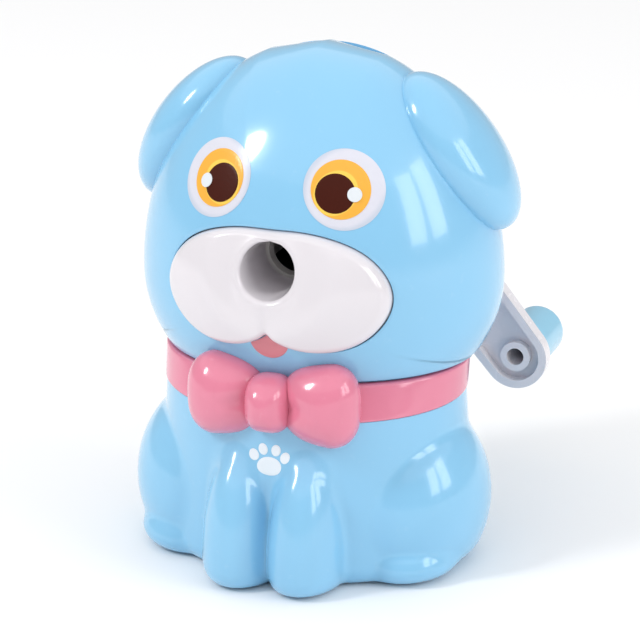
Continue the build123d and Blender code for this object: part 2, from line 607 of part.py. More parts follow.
def shaft_bush():
    inner_y = HOUSING_REAR_Y - HOUSING_WALL
    bush = rod(inner_y, BOSS_END_Y, BUSH_R, z=PENCIL_Z)
    bush = bush + rod(BOSS_END_Y, BOSS_END_Y + BUSH_FLANGE_T, BUSH_FLANGE_R, z=PENCIL_Z)
    return bush - rod(inner_y - PAST, HUB_Y, SHAFT_R + SHAFT_CLEARANCE, z=PENCIL_Z)


# ---------------------------------------------------------------- crank
HUB_Y = BOSS_END_Y + BUSH_FLANGE_T + HUB_GAP
KNOB_X = ARM_LENGTH * math.cos(math.radians(ARM_ANGLE))
KNOB_Z = PENCIL_Z + ARM_LENGTH * math.sin(math.radians(ARM_ANGLE))
KNOB_Y = ARM_Y + ARM_T + KNOB_GAP
HUB_END_Y = ARM_Y + ARM_T - 0.2      # hub and shaft end just inside the arm's outer face
SHAFT_FLAT = SHAFT_R * 0.7


def shaft_section(grow=0.0):
    """D-shaped section that keys the arm to the shaft."""
    flat = Pos(SHAFT_FLAT + grow + SHAFT_R, 0) * Rectangle(2 * SHAFT_R, 4 * SHAFT_R)
    return Circle(SHAFT_R + grow) - flat


def shaft_key(y0, y1, grow=0.0):
    return Pos(0, y1, PENCIL_Z) * extrude(Plane.XZ * shaft_section(grow), y1 - y0)


def crank_shaft():
    round_part = rod(CARRIER_REAR_Y - SHAFT_SEAT, HUB_Y, SHAFT_R, z=PENCIL_Z)
    shaft = round_part + shaft_key(HUB_Y, HUB_END_Y)
    return shaft - rod(ARM_Y - ARM_PILOT, BIG / 2, SCREW_R + SCREW_FIT, z=PENCIL_Z)


def arm_outline(shrink=0.0):
    """Two round ends of the arm and the straight sides between them, lying along +X."""
    r0, r1 = ARM_HUB_R - shrink, ARM_KNOB_R - shrink
    lean = math.asin((r0 - r1) / ARM_LENGTH)
    corners = [(r0 * math.sin(lean), r0 * math.cos(lean)),
               (ARM_LENGTH + r1 * math.sin(lean), r1 * math.cos(lean)),
               (ARM_LENGTH + r1 * math.sin(lean), -r1 * math.cos(lean)),
               (r0 * math.sin(lean), -r0 * math.cos(lean))]
    web = make_face(Polyline(*corners, close=True))
    return Circle(r0) + Pos(ARM_LENGTH, 0) * Circle(r1) + web


def crank_arm():
    """Lever with a tray on its inner face, a keyed hub and a hollow post for the knob."""
    place = Pos(0, ARM_Y + ARM_T, PENCIL_Z) * Rot(Y=-ARM_ANGLE)
    blade = place * extrude(Plane.XZ * arm_outline(), ARM_T)
    blade = fillet(blade.edges().group_by(Axis.Y)[-1], ARM_EDGE)
    tray = Pos(0, ARM_Y + ARM_TRAY, PENCIL_Z) * Rot(Y=-ARM_ANGLE)
    blade = blade - tray * extrude(Plane.XZ * arm_outline(ARM_RIM), ARM_TRAY)
    arm = blade + rod(HUB_Y, HUB_END_Y, HUB_R, z=PENCIL_Z)
    post_end = ARM_Y + ARM_T + POST_LENGTH
    arm = arm + rod(ARM_Y + POST_RECESS, post_end, POST_R, KNOB_X, KNOB_Z)
    arm = arm - rod(ARM_Y - PAST, post_end + PAST, POST_BORE_R, KNOB_X, KNOB_Z)
    return arm - shaft_key(HUB_Y - PAST, ARM_Y + ARM_T + PAST, PRESS_GAP)


def crank_knob():
    """Closed cap that turns on the arm's post."""
    end = KNOB_Y + KNOB_LENGTH
    knob = rod(KNOB_Y, end, KNOB_R, KNOB_X, KNOB_Z)
    knob = fillet(knob.edges().group_by(Axis.Y)[-1], KNOB_EDGE)
    bore_end = ARM_Y + ARM_T + POST_LENGTH + FIT_GAP
    return knob - rod(KNOB_Y - PAST, bore_end, POST_R + KNOB_CLEARANCE, KNOB_X, KNOB_Z)


# ---------------------------------------------------------------- all nodes
def build():
    iris_x = EYE_X - IRIS_SHIFT
    nodes = {
        "body_shell": body_shell(),
        "base_plate": base_plate(),
        "base_pad": base_pad(),
        "base_screws": group(base_screws()),
        "collar_bow": collar_bow(),
        "chest_print": chest_print(),
        "head_front_shell": head_front_shell(),
        "head_rear_shell": head_rear_shell(),
        "muzzle_plate": muzzle_plate(),
        "eye_whites": eye_layer(EYE_X, EYE_Z, EYE_R, 0),
        "eye_irises": eye_layer(iris_x, EYE_Z, IRIS_R, 1),
        "eye_pupils": eye_layer(PUPIL_X, PUPIL_Z, PUPIL_R, 2),
        "eye_glints": eye_layer(GLINT_X, GLINT_Z, GLINT_R, 3),
        "tongue_print": tongue_print(),
        "neck_ring": neck_ring(),
        "head_screws": group(screws_y(head_screw_places(), HEAD_SCREW_SEAT_Y, HEAD_SCREW_L, -1)),
        "gear_housing": gear_housing(),
        "housing_screws": group(screws_y(lug_places(), LUG_Y, LUG_SCREW_L, 1)),
        "ring_gear": ring_gear(),
        "shaft_bush": shaft_bush(),
        "cutter_carrier": cutter_carrier(),
        "cutter_pin": cutter_pin(),
        "crank_shaft": crank_shaft(),
        "crank_arm": crank_arm(),
        "arm_screw": group(screws_y([(0, PENCIL_Z)], ARM_Y + ARM_T, ARM_SCREW_L, -1)),
        "helical_cutter": helical_cutter(),
        "cutter_pinion": cutter_pinion(),
        "crank_knob": crank_knob(),
    }
    return nodes


os.makedirs("parts", exist_ok=True)
for name, shape in build().items():
    save(name, shape)
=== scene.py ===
import math

import bpy
import numpy as np
from bpy.props import FloatProperty, FloatVectorProperty, PointerProperty
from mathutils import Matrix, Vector


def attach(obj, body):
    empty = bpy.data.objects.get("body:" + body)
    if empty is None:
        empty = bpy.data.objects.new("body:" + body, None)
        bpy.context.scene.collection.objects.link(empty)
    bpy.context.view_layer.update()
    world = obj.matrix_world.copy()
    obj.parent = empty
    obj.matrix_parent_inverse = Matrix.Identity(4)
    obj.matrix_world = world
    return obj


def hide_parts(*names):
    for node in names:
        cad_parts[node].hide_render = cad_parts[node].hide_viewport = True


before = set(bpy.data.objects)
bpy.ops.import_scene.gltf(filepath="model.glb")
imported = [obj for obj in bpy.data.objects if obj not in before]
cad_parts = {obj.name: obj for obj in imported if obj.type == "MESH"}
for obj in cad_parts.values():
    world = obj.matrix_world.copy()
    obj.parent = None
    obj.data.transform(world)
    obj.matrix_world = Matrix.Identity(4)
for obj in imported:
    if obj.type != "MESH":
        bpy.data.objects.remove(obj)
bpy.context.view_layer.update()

bl_info = {
    "name": "Puppy pencil sharpener",
    "version": (1, 0, 0),
    "blender": (4, 5, 0),
    "location": "View3D > Sidebar > Sharpener",
    "description": "Moulded shells, face, bow and finishes of a puppy-shaped crank pencil sharpener",
    "category": "Add Mesh",
}

MM = 0.001
QUARTER = math.pi / 2
TOE_ANGLES = (35, 70, 110, 145)


# ---------------------------------------------------------------- sizes and colours
def length(name, millimetres, text):
    """A size that a user can change, in metres, with its default given in millimetres."""
    return FloatProperty(name=name, description=text, default=millimetres * MM,
                         unit="LENGTH", precision=5)


def turn(name, degrees, text):
    return FloatProperty(name=name, description=text, default=math.radians(degrees), unit="ROTATION")


def number(name, value, text):
    return FloatProperty(name=name, description=text, default=value, subtype="FACTOR", min=0.0, max=10.0)


def place(name, millimetres, text):
    """Three sizes along X, Y and Z, in metres, with defaults in millimetres."""
    return FloatVectorProperty(name=name, description=text, size=3, subtype="XYZ", unit="LENGTH",
                               default=tuple(v * MM for v in millimetres), precision=5)


def colour(name, value, text):
    return FloatVectorProperty(name=name, description=text, size=3, subtype="COLOR",
                               default=value, min=0.0, max=1.0)


class HeadSizes(bpy.types.PropertyGroup):
    half_width: length("Half width", 36.7, "Egg-shaped head, middle to side")
    half_depth: length("Half depth", 31.2, "Egg-shaped head, middle to front")
    crown: length("Crown", 46.0, "Height above the widest level")
    chin: length("Chin", 29.8, "Height below the widest level")
    middle_y: length("Middle", 4.4, "Middle of the head, front to back")
    widest_z: length("Widest level", 56.6, "Height of the widest level")
    wall: length("Wall", 2.0, "Thickness of the shells")
    split_y: length("Joint plane", 12.0, "Where the front shell ends")
    rim_z: length("Lower rim", 42.2, "Height of the shells' lower edge")
    edge: length("Edge", 0.35, "Rounding of the shells' edges")
    ear_place: place("Ear", (27.2, 6.4, 82.6), "Middle of the ear on the +X side")
    ear_size: place("Ear size", (8.2, 13.6, 18.1), "Half sizes of the flattened ear")
    ear_lean: turn("Ear lean", 35.4, "How far the ears lean out")
    ear_pitch: turn("Ear pitch", 6.5, "How far the ears lean back")
    ear_yaw: turn("Ear turn", 10.5, "How far the ears turn to the front")


class FaceSizes(bpy.types.PropertyGroup):
    bulge_place: place("Muzzle bulge", (0.0, 9.8, 59.5), "Centre of the muzzle's bulge")
    bulge_size: place("Muzzle bulge size", (36.0, 39.0, 29.0), "Half sizes of the muzzle's bulge")
    muzzle_gap: length("Muzzle gap", 0.2, "Gap between muzzle and head")
    muzzle_edge: length("Muzzle edge", 1.5, "Rounding of the muzzle's outer edge")
    muzzle_proud: length("Muzzle height", 1.5, "How far the muzzle's cheeks stand out past the hole")
    crease_deep: length("Crease depth", 0.75, "Depth of the crease above the notch")
    flange: length("Flange", 2.0, "Width of the flange behind the head shell")
    hole_z: length("Hole height", 65.0, "Height of the pencil hole's axis")
    hole_radius: length("Hole radius", 5.5, "Radius of the pencil hole")
    hole_lip: length("Hole lip", 1.3, "Rounding of the pencil hole's rim")
    tube_radius: length("Tube radius", 7.3, "Outside of the pencil guide")
    tube_back: length("Tube end", -13.3, "Depth at which the pencil guide ends")
    eye_x: length("Eye across", 13.0, "Middle of the eye from the middle plane")
    eye_z: length("Eye height", 80.6, "Height of the eyes")
    eye_radius: length("Eye radius", 7.8, "Radius of the printed white")
    iris_radius: length("Iris radius", 5.7, "Radius of the printed iris")
    iris_shift: length("Iris shift", 0.6, "Shift of the iris to the middle")
    pupil_radius: length("Pupil radius", 3.8, "Radius of the printed pupil")
    pupil_x: length("Pupil across", 11.5, "Middle of the pupil from the middle plane")
    pupil_z: length("Pupil height", 79.9, "Height of the pupils")
    glint_radius: length("Glint radius", 1.4, "Radius of the printed glint")
    glint_x: length("Glint across", 15.0, "Middle of the glint from the middle plane")
    glint_z: length("Glint height", 79.7, "Height of the glints")
    ink: length("Ink", 0.12, "Thickness of one printed layer")
    tongue_radius: length("Tongue radius", 4.0, "Radius of the tongue")
    tongue_z: length("Tongue height", 51.2, "Height of the tongue's middle")


class BodySizes(bpy.types.PropertyGroup):
    middle_y: length("Middle", 0.4, "Middle of the round body, front to back")
    foot_width: length("Half width", 32.9, "Round body at the bottom")
    foot_depth: length("Half depth", 27.0, "Round body at the bottom")
    top_width: length("Top half width", 30.6, "Round body at the collar's lower edge")
    top_depth: length("Top half depth", 26.6, "Round body at the collar's lower edge")
    neck_width: length("Neck half width", 31.2, "Collar's upper edge")
    neck_depth: length("Neck half depth", 24.4, "Collar's upper edge")
    neck_y: length("Neck middle", 1.2, "Middle of the collar's upper edge")
    floor_z: length("Lower edge", 0.5, "Height of the shell's lower edge")
    collar_z: length("Collar", 34.7, "Height of the collar's lower edge")
    collar_height: length("Collar height", 7.0, "Height of the collar band")
    collar_thick: length("Collar thickness", 1.6, "Thickness of the collar band")
    collar_step: length("Collar step", 0.3, "How far the band stands out of the body")
    collar_gap: length("Collar gap", 0.15, "Gap between the band and the neck")
    collar_edge: length("Collar edge", 0.55, "Rounding of the band's edges")
    spigot_width: length("Spigot half width", 27.0, "Tongue that the head drops over")
    spigot_depth: length("Spigot half depth", 20.6, "Tongue that the head drops over")
    spigot_y: length("Spigot middle", 2.6, "Middle of the spigot, front to back")
    spigot_height: length("Spigot height", 4.0, "Height of the spigot")
    spigot_wall: length("Spigot wall", 1.8, "Thickness of the spigot")
    spigot_edge: length("Spigot edge", 0.5, "Rounding of the spigot's upper edges")
    opening_width: length("Opening half width", 28.6, "Base plate's opening")
    opening_depth: length("Opening half depth", 22.6, "Base plate's opening")
    ledge: length("Ledge", 2.0, "Width and height of the rim that the base plate seats on")
    ledge_z: length("Ledge height", 3.6, "Height of the base plate's upper face")
    wall: length("Wall", 2.2, "Thickness of the shell")
    sole: length("Sole rounding", 4.0, "Rounding of the feet at the bottom")
    haunch_place: place("Haunch", (20.5, -1.7, 13.0), "Middle of the haunch on the +X side")
    haunch_size: place("Haunch size", (16.4, 19.1, 19.7), "Half sizes of the haunch")
    foot_place: place("Hind foot", (23.0, -9.0, 3.0), "Middle of the hind foot on the +X side")
    foot_size: place("Hind foot size", (10.5, 12.0, 8.0), "Half sizes of the hind foot")
    leg_place: place("Front leg", (6.8, -22.2, 6.0), "Middle of the front leg on the +X side")
    leg_size: place("Front leg size", (7.9, 11.8, 22.0), "Half sizes of the front leg")
    crease: length("Crease", 1.0, "Softness of the crease round the haunches")
    leg_crease: length("Leg crease", 1.3, "Softness of the crease beside the legs")
    paw_z: length("Paw print", 25.2, "Height of the paw print on the chest")
    pad_width: length("Pad half width", 2.5, "Paw print's pad")
    pad_height: length("Pad half height", 1.9, "Paw print's pad")
    toe_width: length("Toe half width", 0.95, "One toe of the paw print")
    toe_height: length("Toe half height", 1.19, "One toe of the paw print")
    toes_width: length("Toes across", 3.9, "Half width of the arc that the toes stand on")
    toes_height: length("Toes up", 3.6, "Height of the arc that the toes stand on")


class BowSizes(bpy.types.PropertyGroup):
    lobe_place: place("Lobe", (9.7, -23.8, 38.3), "Middle of the lobe on the +X side")
    lobe_size: place("Lobe size", (7.9, 6.5, 8.6), "Half sizes of the lobe")
    lobe_taper: number("Lobe taper", 0.15, "How much lower the lobe is beside the knot")
    knot_place: place("Knot", (0.0, -26.0, 38.3), "Middle of the knot")
    knot_size: place("Knot size", (4.6, 6.4, 5.8), "Half sizes of the knot")
    fullness: number("Fullness", 2.75, "2 is round, more is squarer")


class Finishes(bpy.types.PropertyGroup):
    shell: colour("Shell", (0.265, 0.57, 0.81), "Light blue of the shells")
    shell_deep: colour("Shell, deep", (0.215, 0.51, 0.76), "Light blue where the plastic is thick")
    pink: colour("Collar", (0.76, 0.24, 0.345), "Pink of the collar and bow")
    pink_deep: colour("Collar, deep", (0.69, 0.18, 0.28), "Pink where the plastic is thick")
    white: colour("Muzzle", (0.74, 0.705, 0.74), "White of the muzzle")
    crank: colour("Crank", (0.80, 0.77, 0.80), "White of the crank's arm")
    inner: colour("Inner parts", (0.72, 0.71, 0.68), "Natural white of the inner parts")
    black: colour("Housing", (0.012, 0.012, 0.013), "Black of the gear housing")
    knob: colour("Knob", (0.30, 0.62, 0.82), "Light blue of the knob")
    eye_white: colour("Eye white", (0.69, 0.69, 0.77), "Print of the eye")
    eye_rim: colour("Eye rim", (0.56, 0.60, 0.70), "Greyer ring at the eye's edge")
    iris: colour("Iris", (0.86, 0.43, 0.055), "Amber of the iris")
    iris_light: colour("Iris, light", (0.95, 0.62, 0.10), "Brighter line round the pupil")
    pupil: colour("Pupil", (0.060, 0.010, 0.005), "Brown of the pupil")
    glint: colour("Glint", (0.72, 0.76, 0.80), "Print of the glint")
    tongue: colour("Tongue", (0.72, 0.27, 0.31), "Coral of the tongue")
    paw: colour("Paw print", (0.78, 0.85, 0.90), "White of the paw print")
    foam: colour("Foam", (0.05, 0.05, 0.055), "Foam pad underneath")
    steel: colour("Steel", (0.56, 0.57, 0.58), "Screws and shaft")
    cutter: colour("Cutter", (0.42, 0.42, 0.43), "Hardened cutter")
    brass: colour("Brass", (0.72, 0.52, 0.24), "Shaft bush")


class StageSizes(bpy.types.PropertyGroup):
    azimuth: turn("Azimuth", 19.88, "Camera's turn to the right of the front")
    elevation: turn("Elevation", 18.88, "Camera's height above the horizon")
    distance: length("Distance", 543.2, "Camera to the middle of the view")
    aim: place("Aim", (0.89, 0.0, 46.81), "Middle of the view")
    lens: FloatProperty(name="Lens", description="Focal length in mm for a 36 mm sensor", default=152.8)
    floor: colour("Floor", (0.93, 0.93, 0.935), "Pale floor")
    key: number("Key", 1.0, "Strength of the main softbox")
    fill: number("Fill", 1.0, "Strength of the fill and of the sky")


GROUPS = {"sharpener_head": HeadSizes, "sharpener_face": FaceSizes, "sharpener_body": BodySizes,
          "sharpener_bow": BowSizes, "sharpener_finish": Finishes, "sharpener_stage": StageSizes}


# ---------------------------------------------------------------- surfaces
def closed_loop_faces(rows, columns, ring):
    """Quads between neighbouring rows and columns. Columns close on themselves; in a ring the
    last row also meets the first."""
    row = np.arange(rows if ring else rows - 1)[:, None]
    column = np.arange(columns)[None, :]
    after_row, after_column = (row + 1) % rows, (column + 1) % columns
    corners = (row * columns + column, row * columns + after_column,
               after_row * columns + after_column, after_row * columns + column)
    return np.stack([np.broadcast_to(c, (len(row), columns)) for c in corners], -1).reshape(-1, 4)


def closed_surface(grid, ring):
    """Vertices, quads and triangles of a closed surface given as rows x columns x 3. A ring is
    closed along its rows; otherwise the first and last row are single points, its poles."""
    if ring:
        return grid.reshape(-1, 3), closed_loop_faces(*grid.shape[:2], True), np.zeros((0, 3), int)
    body = grid[1:-1]
    rows, columns = body.shape[:2]
    points = np.vstack([body.reshape(-1, 3), grid[0, :1], grid[-1, :1]])
    here = np.arange(columns)
    after = (here + 1) % columns
    first = np.stack([np.full(columns, rows * columns), after, here], -1)
    low = (rows - 1) * columns
    last = np.stack([np.full(columns, rows * columns + 1), low + here, low + after], -1)
    return points, closed_loop_faces(rows, columns, False), np.vstack([first, last])


def outward(points, quads, triangles):
    """The same faces, turned round if the volume that they enclose comes out negative. The volume
    is the sum over triangles of the corner's triple product, over six."""
    split = np.vstack([quads[:, [0, 1, 2]], quads[:, [0, 2, 3]], triangles])
    a, b, c = (points[split[:, i]] for i in range(3))
    if np.einsum("ij,ij->", a, np.cross(b, c)) < 0:
        return quads[:, ::-1], triangles[:, ::-1]
    return quads, triangles


def make_piece(name, grids, material, body, slot, replaced=(), sharp=40.0):
    """One object from closed surfaces, each (grid, ring), riding on a body of the mechanism."""
    points, faces, start = [], [], 0
    for grid, ring in grids:
        verts, quads, triangles = closed_surface(grid, ring)
        quads, triangles = outward(verts, quads, triangles)
        points.append(verts)
        faces += (quads + start).tolist() + (triangles + start).tolist()
        start += len(verts)
    mesh = bpy.data.meshes.new(name)
    mesh.from_pydata(np.vstack(points).tolist(), [], faces)
    mesh.polygons.foreach_set("use_smooth", np.ones(len(mesh.polygons), bool))
    mesh.set_sharp_from_angle(angle=math.radians(sharp))
    mesh.materials.append(material)
    mesh.validate()
    piece = bpy.data.objects.new(name, mesh)
    bpy.context.scene.collection.objects.link(piece)
    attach(piece, body)
    if replaced:
        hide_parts(*replaced)
    return piece


def mirrored(grid):
    """The grid on the other side of the middle plane."""
    return grid * np.array([-1.0, 1.0, 1.0])


def stack(*axes):
    return np.stack(np.broadcast_arrays(*axes), -1)


def smooth_curve(points, first_way, last_way, count):
    """Curve through points: a cubic between each two, over the chord's length, whose slopes and
    bends agree where they meet, and whose end directions are given. The slopes solve one
    three-banded system."""
    points = np.array(points, float)
    chord = np.linalg.norm(np.diff(points, axis=0), axis=1)
    last = len(points) - 1
    system = np.eye(last + 1)
    inner = np.arange(1, last)
    system[inner, inner - 1] = 1 / chord[:-1]
    system[inner, inner] = 2 / chord[:-1] + 2 / chord[1:]
    system[inner, inner + 1] = 1 / chord[1:]
    step = np.diff(points, axis=0) / chord[:, None] ** 2
    wanted = np.vstack([[first_way], 3 * (step[:-1] + step[1:]), [last_way]])
    slopes = np.linalg.solve(system, wanted)
    travel = np.concatenate([[0], np.cumsum(chord)])
    at = np.linspace(0, travel[-1], count)
    k = np.clip(np.searchsorted(travel, at, "right") - 1, 0, last - 1)
    t = ((at - travel[k]) / chord[k])[:, None]
    h = chord[k][:, None]
    return ((2 * t ** 3 - 3 * t ** 2 + 1) * points[k] + (t ** 3 - 2 * t ** 2 + t) * h * slopes[k]
            + (3 * t ** 2 - 2 * t ** 3) * points[k + 1] + (t ** 3 - t ** 2) * h * slopes[k + 1])


def smooth_step(value, low, high):
    """0 below low, 1 above high, and a smooth rise between."""
    t = np.clip((value - low) / (high - low), 0, 1)
    return t * t * (3 - 2 * t)


def roll(count):
    """A quarter circle as (along, down) shares, from the edge's side face to its top face."""
    angle = np.linspace(0, QUARTER, count)
    return 1 - np.cos(angle), 1 - np.sin(angle)


# ---------------------------------------------------------------- head shapes
def head_radii(head, grow, above):
    """Half sizes of the egg, grown all round; above says where the crown's height holds."""
    height = np.where(above, head.crown, head.chin) + grow
    return stack(head.half_width + grow, head.half_depth + grow, height)


def head_middle(head):
    return np.array([0.0, head.middle_y, head.widest_z])


def head_point(head, way, grow):
    """Point of the grown egg: its middle plus a unit direction stretched by its half sizes."""
    return head_middle(head) + way * head_radii(head, grow, way[..., 2] >= 0)


def head_front_y(head, x, z, grow=0.0):
    """Depth of the egg's front face over a place in the front view: the middle less the half
    depth times the square root of what the two other shares leave of 1."""
    radii = head_radii(head, grow, z >= head.widest_z)
    left = 1 - (x / radii[..., 0]) ** 2 - ((z - head.widest_z) / radii[..., 2]) ** 2
    return head.middle_y - radii[..., 1] * np.sqrt(np.clip(left, 0, 1))


def to_plane(way):
    """Unit directions seen from the back pole and laid on a plane: across and up over 1 - depth."""
    return way[..., [0, 2]] / (1 - way[..., 1:2])


def from_plane(flat):
    """The unit directions that to_plane laid on the plane."""
    square = (flat ** 2).sum(-1)
    return stack(2 * flat[..., 0], square - 1, 2 * flat[..., 1]) / (1 + square)[..., None]


def reach_to_seam(head, centre, way, grow):
    """How far a ray in the plane runs before it meets the joint plane or the lower rim. The joint
    plane is a circle round the plane's origin, the rim is another circle."""
    depth = (head.split_y - head.middle_y) / (head.half_depth + grow)
    along = way @ centre
    circle = (1 + depth) / (1 - depth)
    seam = -along + np.sqrt(along ** 2 - centre @ centre + circle)
    level = (head.rim_z - head.widest_z) / (head.chin + grow)
    b = along - way[:, 1] / level
    c = 1 + centre @ centre - 2 * centre[1] / level
    room = b * b - c
    rim = -b - np.sqrt(np.clip(room, 0, None))
    return np.where((room > 0) & (rim > 0), np.minimum(seam, rim), seam)


# Right half of the muzzle's front view in millimetres, from its flat top to the notch
MUZZLE_POINTS = ((3, 72.5), (11.5, 71.3), (18.8, 67.4), (22.6, 59.4),
                 (18.6, 52.2), (10.2, 49.3), (0.5, 52.4))
NOTCH_WAY = (-0.79, 0.613)
RAY_CENTRE = (0.0, 0.06)  # where the front shell's rays start, in to_plane's flattened view


def muzzle_loop(grow=0.0, count=150):
    """Front view of the muzzle as a closed loop of (x, z): a smooth curve from the top round the
    right cheek and lobe to the notch, mirrored, and moved outwards along its normals."""
    half = smooth_curve(np.array(MUZZLE_POINTS) * MM, (1, 0), NOTCH_WAY, count)
    half = np.vstack([[0, half[0, 1]], half, [0, half[-1, 1] + 0.15 * MM]])
    along = np.gradient(half, axis=0)
    along[0], along[-1] = (1, 0), (-1, 0.2)
    along /= np.linalg.norm(along, axis=1)[:, None]
    half = half + stack(-along[:, 1], along[:, 0]) * grow
    half[:, 0] = np.maximum(half[:, 0], 0)
    return np.vstack([half, (half * (-1, 1))[-2:0:-1]])


def front_shell_grid(head, face):
    """Shell between the muzzle's opening and the joint plane: columns are rays from the muzzle's
    middle in the flattened view, rows run out over the outer face, round the edge and back
    along the inner face."""
    loop = muzzle_loop(face.muzzle_gap)
    centre = np.array(RAY_CENTRE)

    def opening(grow):
        y = head_front_y(head, loop[:, 0], loop[:, 1], grow)
        radii = head_radii(head, grow, loop[:, 1] >= head.widest_z)
        return to_plane((stack(loop[:, 0], y, loop[:, 1]) - head_middle(head)) / radii)

    def band(shares, grows):
        rows = []
        for share, grow in zip(shares, grows):
            start = opening(grow)
            ray = start - centre
            inner = np.linalg.norm(ray, axis=1)
            way = ray / inner[:, None]
            outer = reach_to_seam(head, centre, way, grow)
            far = inner + (outer - inner) * share
            rows.append(head_point(head, from_plane(centre + way * far[:, None]), grow))
        return rows

    across, down = roll(5)
    size = head.edge / (2 * head.half_depth)
    near = across * size
    middle = np.linspace(size, 1 - size, 72)[1:-1]
    shares = np.concatenate([near, middle, 1 - near[::-1]])
    drop = np.concatenate([down, np.zeros(len(middle)), down[::-1]])
    outside = band(shares, -drop * head.edge)
    inside = band(np.linspace(1, 0, 24), np.full(24, -head.wall))
    return np.array(outside + inside)


def ear_grid(head, rows=96, columns=128):
    """Flattened ellipsoid: half sizes times a unit sphere's angles, leaned out, pitched and
    turned, then moved to its place. What would reach into the head stops inside its wall."""
    around = np.linspace(0, 2 * math.pi, columns, endpoint=False)[None, :]
    down = np.linspace(0, math.pi, rows)[:, None]
    shape = stack(np.sin(down) * np.cos(around), np.sin(down) * np.sin(around), np.cos(down))
    shape = shape * np.array(head.ear_size)
    (cy, sy), (cz, sz), (cx, sx) = ((math.cos(t), math.sin(t)) for t in
                                    (-head.ear_lean, head.ear_yaw, head.ear_pitch))
    lean = np.array([[cy, 0, sy], [0, 1, 0], [-sy, 0, cy]])
    yaw = np.array([[cz, -sz, 0], [sz, cz, 0], [0, 0, 1]])
    pitch = np.array([[1, 0, 0], [0, cx, -sx], [0, sx, cx]])
    points = shape @ (yaw @ lean @ pitch).T + np.array(head.ear_place)
    from_middle = points - head_middle(head)
    radii = head_radii(head, -head.wall / 2, from_middle[..., 2] >= 0)
    level = np.linalg.norm(from_middle / radii, axis=-1, keepdims=True)
    return np.where(level < 1, head_middle(head) + from_middle / level, points)


# ---------------------------------------------------------------- face shapes
def bulge_y(face, x, z):
    """Depth of the muzzle's bulge over a place in the front view, as for the egg."""
    left = 1 - (x / face.bulge_size[0]) ** 2 - ((z - face.bulge_place[2]) / face.bulge_size[2]) ** 2
    return face.bulge_place[1] - face.bulge_size[1] * np.sqrt(np.clip(left, 0, 1))


def muzzle_face_y(face, x, z):
    """The bulge, standing out a little more away from the hole, with a soft crease that rises from
    the notch and fades below the hole: a bell across the middle times a smooth fade upwards."""
    notch = (MUZZLE_POINTS[-1][1] + 0.3) * MM
    fade = 1 - smooth_step(z, notch, notch + 7.5 * MM)
    width = (1.2 + 1.8 * (1 - fade)) * MM
    crease = face.crease_deep * fade * np.exp(-np.abs(x / width) ** 1.4)
    start = face.hole_radius + face.hole_lip
    away = smooth_step(np.hypot(x, z - face.hole_z), start, start + 7 * MM)
    return bulge_y(face, x, z) + crease - face.muzzle_proud * away


def muzzle_grid(head, face):
    """Ring of rows from the flange, up the side, round the edge, over the bulge, round the hole's
    lip and down the guide tube, and back along the inner side."""
    loop = muzzle_loop()
    hole = np.array([0.0, face.hole_z])
    spoke = loop - hole
    reach = np.linalg.norm(spoke, axis=1)
    way = spoke / reach[:, None]
    span = reach - face.hole_radius
    across, down = roll(9)

    def row(far, y):
        """One row at a distance from the hole's axis, with its depth."""
        flat = hole + way * far[:, None]
        return stack(flat[:, 0], y(flat[:, 0], flat[:, 1]), flat[:, 1])

    rows = []
    for inward, drop in zip(across * face.muzzle_edge, down * face.muzzle_edge):
        rows.append(row(reach - inward, lambda x, z, drop=drop: muzzle_face_y(face, x, z) + drop))
    start = face.muzzle_edge
    for share in np.linspace(0, 1, 44)[1:-1]:
        far = reach - start - (span - start - face.hole_lip) * share
        rows.append(row(far, lambda x, z: muzzle_face_y(face, x, z)))
    ring = np.full(len(loop), face.hole_radius)
    for outward_share, drop in zip(across[::-1], down[::-1]):
        far = ring + face.hole_lip * outward_share
        rows.append(row(far, lambda x, z, drop=drop: muzzle_face_y(face, x, z) + drop * face.hole_lip))
    for depth in (-22 * MM, face.tube_back):
        rows.append(row(ring, lambda x, z, depth=depth: np.full_like(x, depth)))
    tube = np.full(len(loop), face.tube_radius)
    rows.append(row(tube, lambda x, z: np.full_like(x, face.tube_back)))
    back = -head.wall - 1.5 * MM
    rows.append(row(tube, lambda x, z: head_front_y(head, x, z, back)))
    wide = muzzle_loop(face.flange)
    front = -head.wall - 0.05 * MM
    for edge, grow in ((wide, back), (wide, front), (muzzle_loop(), front)):
        x, z = edge[:, 0], edge[:, 1]
        rows.append(stack(x, head_front_y(head, x, z, grow), z))
    return np.array(rows)


def printed_patch(loop, centre, skin_y, low, high, puff=0.0, rows=14):
    """Thin layer over a closed loop of (x, z): rows shrink from a point in the middle to the loop,
    round its edge, and run back to a point underneath. skin_y(x, z, grow) gives the depth of
    the face that it lies on. Puff raises its middle by a dome of 1 less the square of the share."""
    out = np.concatenate([np.linspace(0, 1, rows) ** 0.8, [1.0], np.linspace(1, 0, 4)])
    grows = np.concatenate([high + puff * (1 - np.linspace(0, 1, rows) ** 1.6), [low], np.full(4, low)])
    grows[rows - 1] = high - 0.3 * (high - low)
    flat = centre + (loop - centre) * out[:, None, None]
    return np.stack([stack(f[:, 0], skin_y(f[:, 0], f[:, 1], g), f[:, 1]) for f, g in zip(flat, grows)])


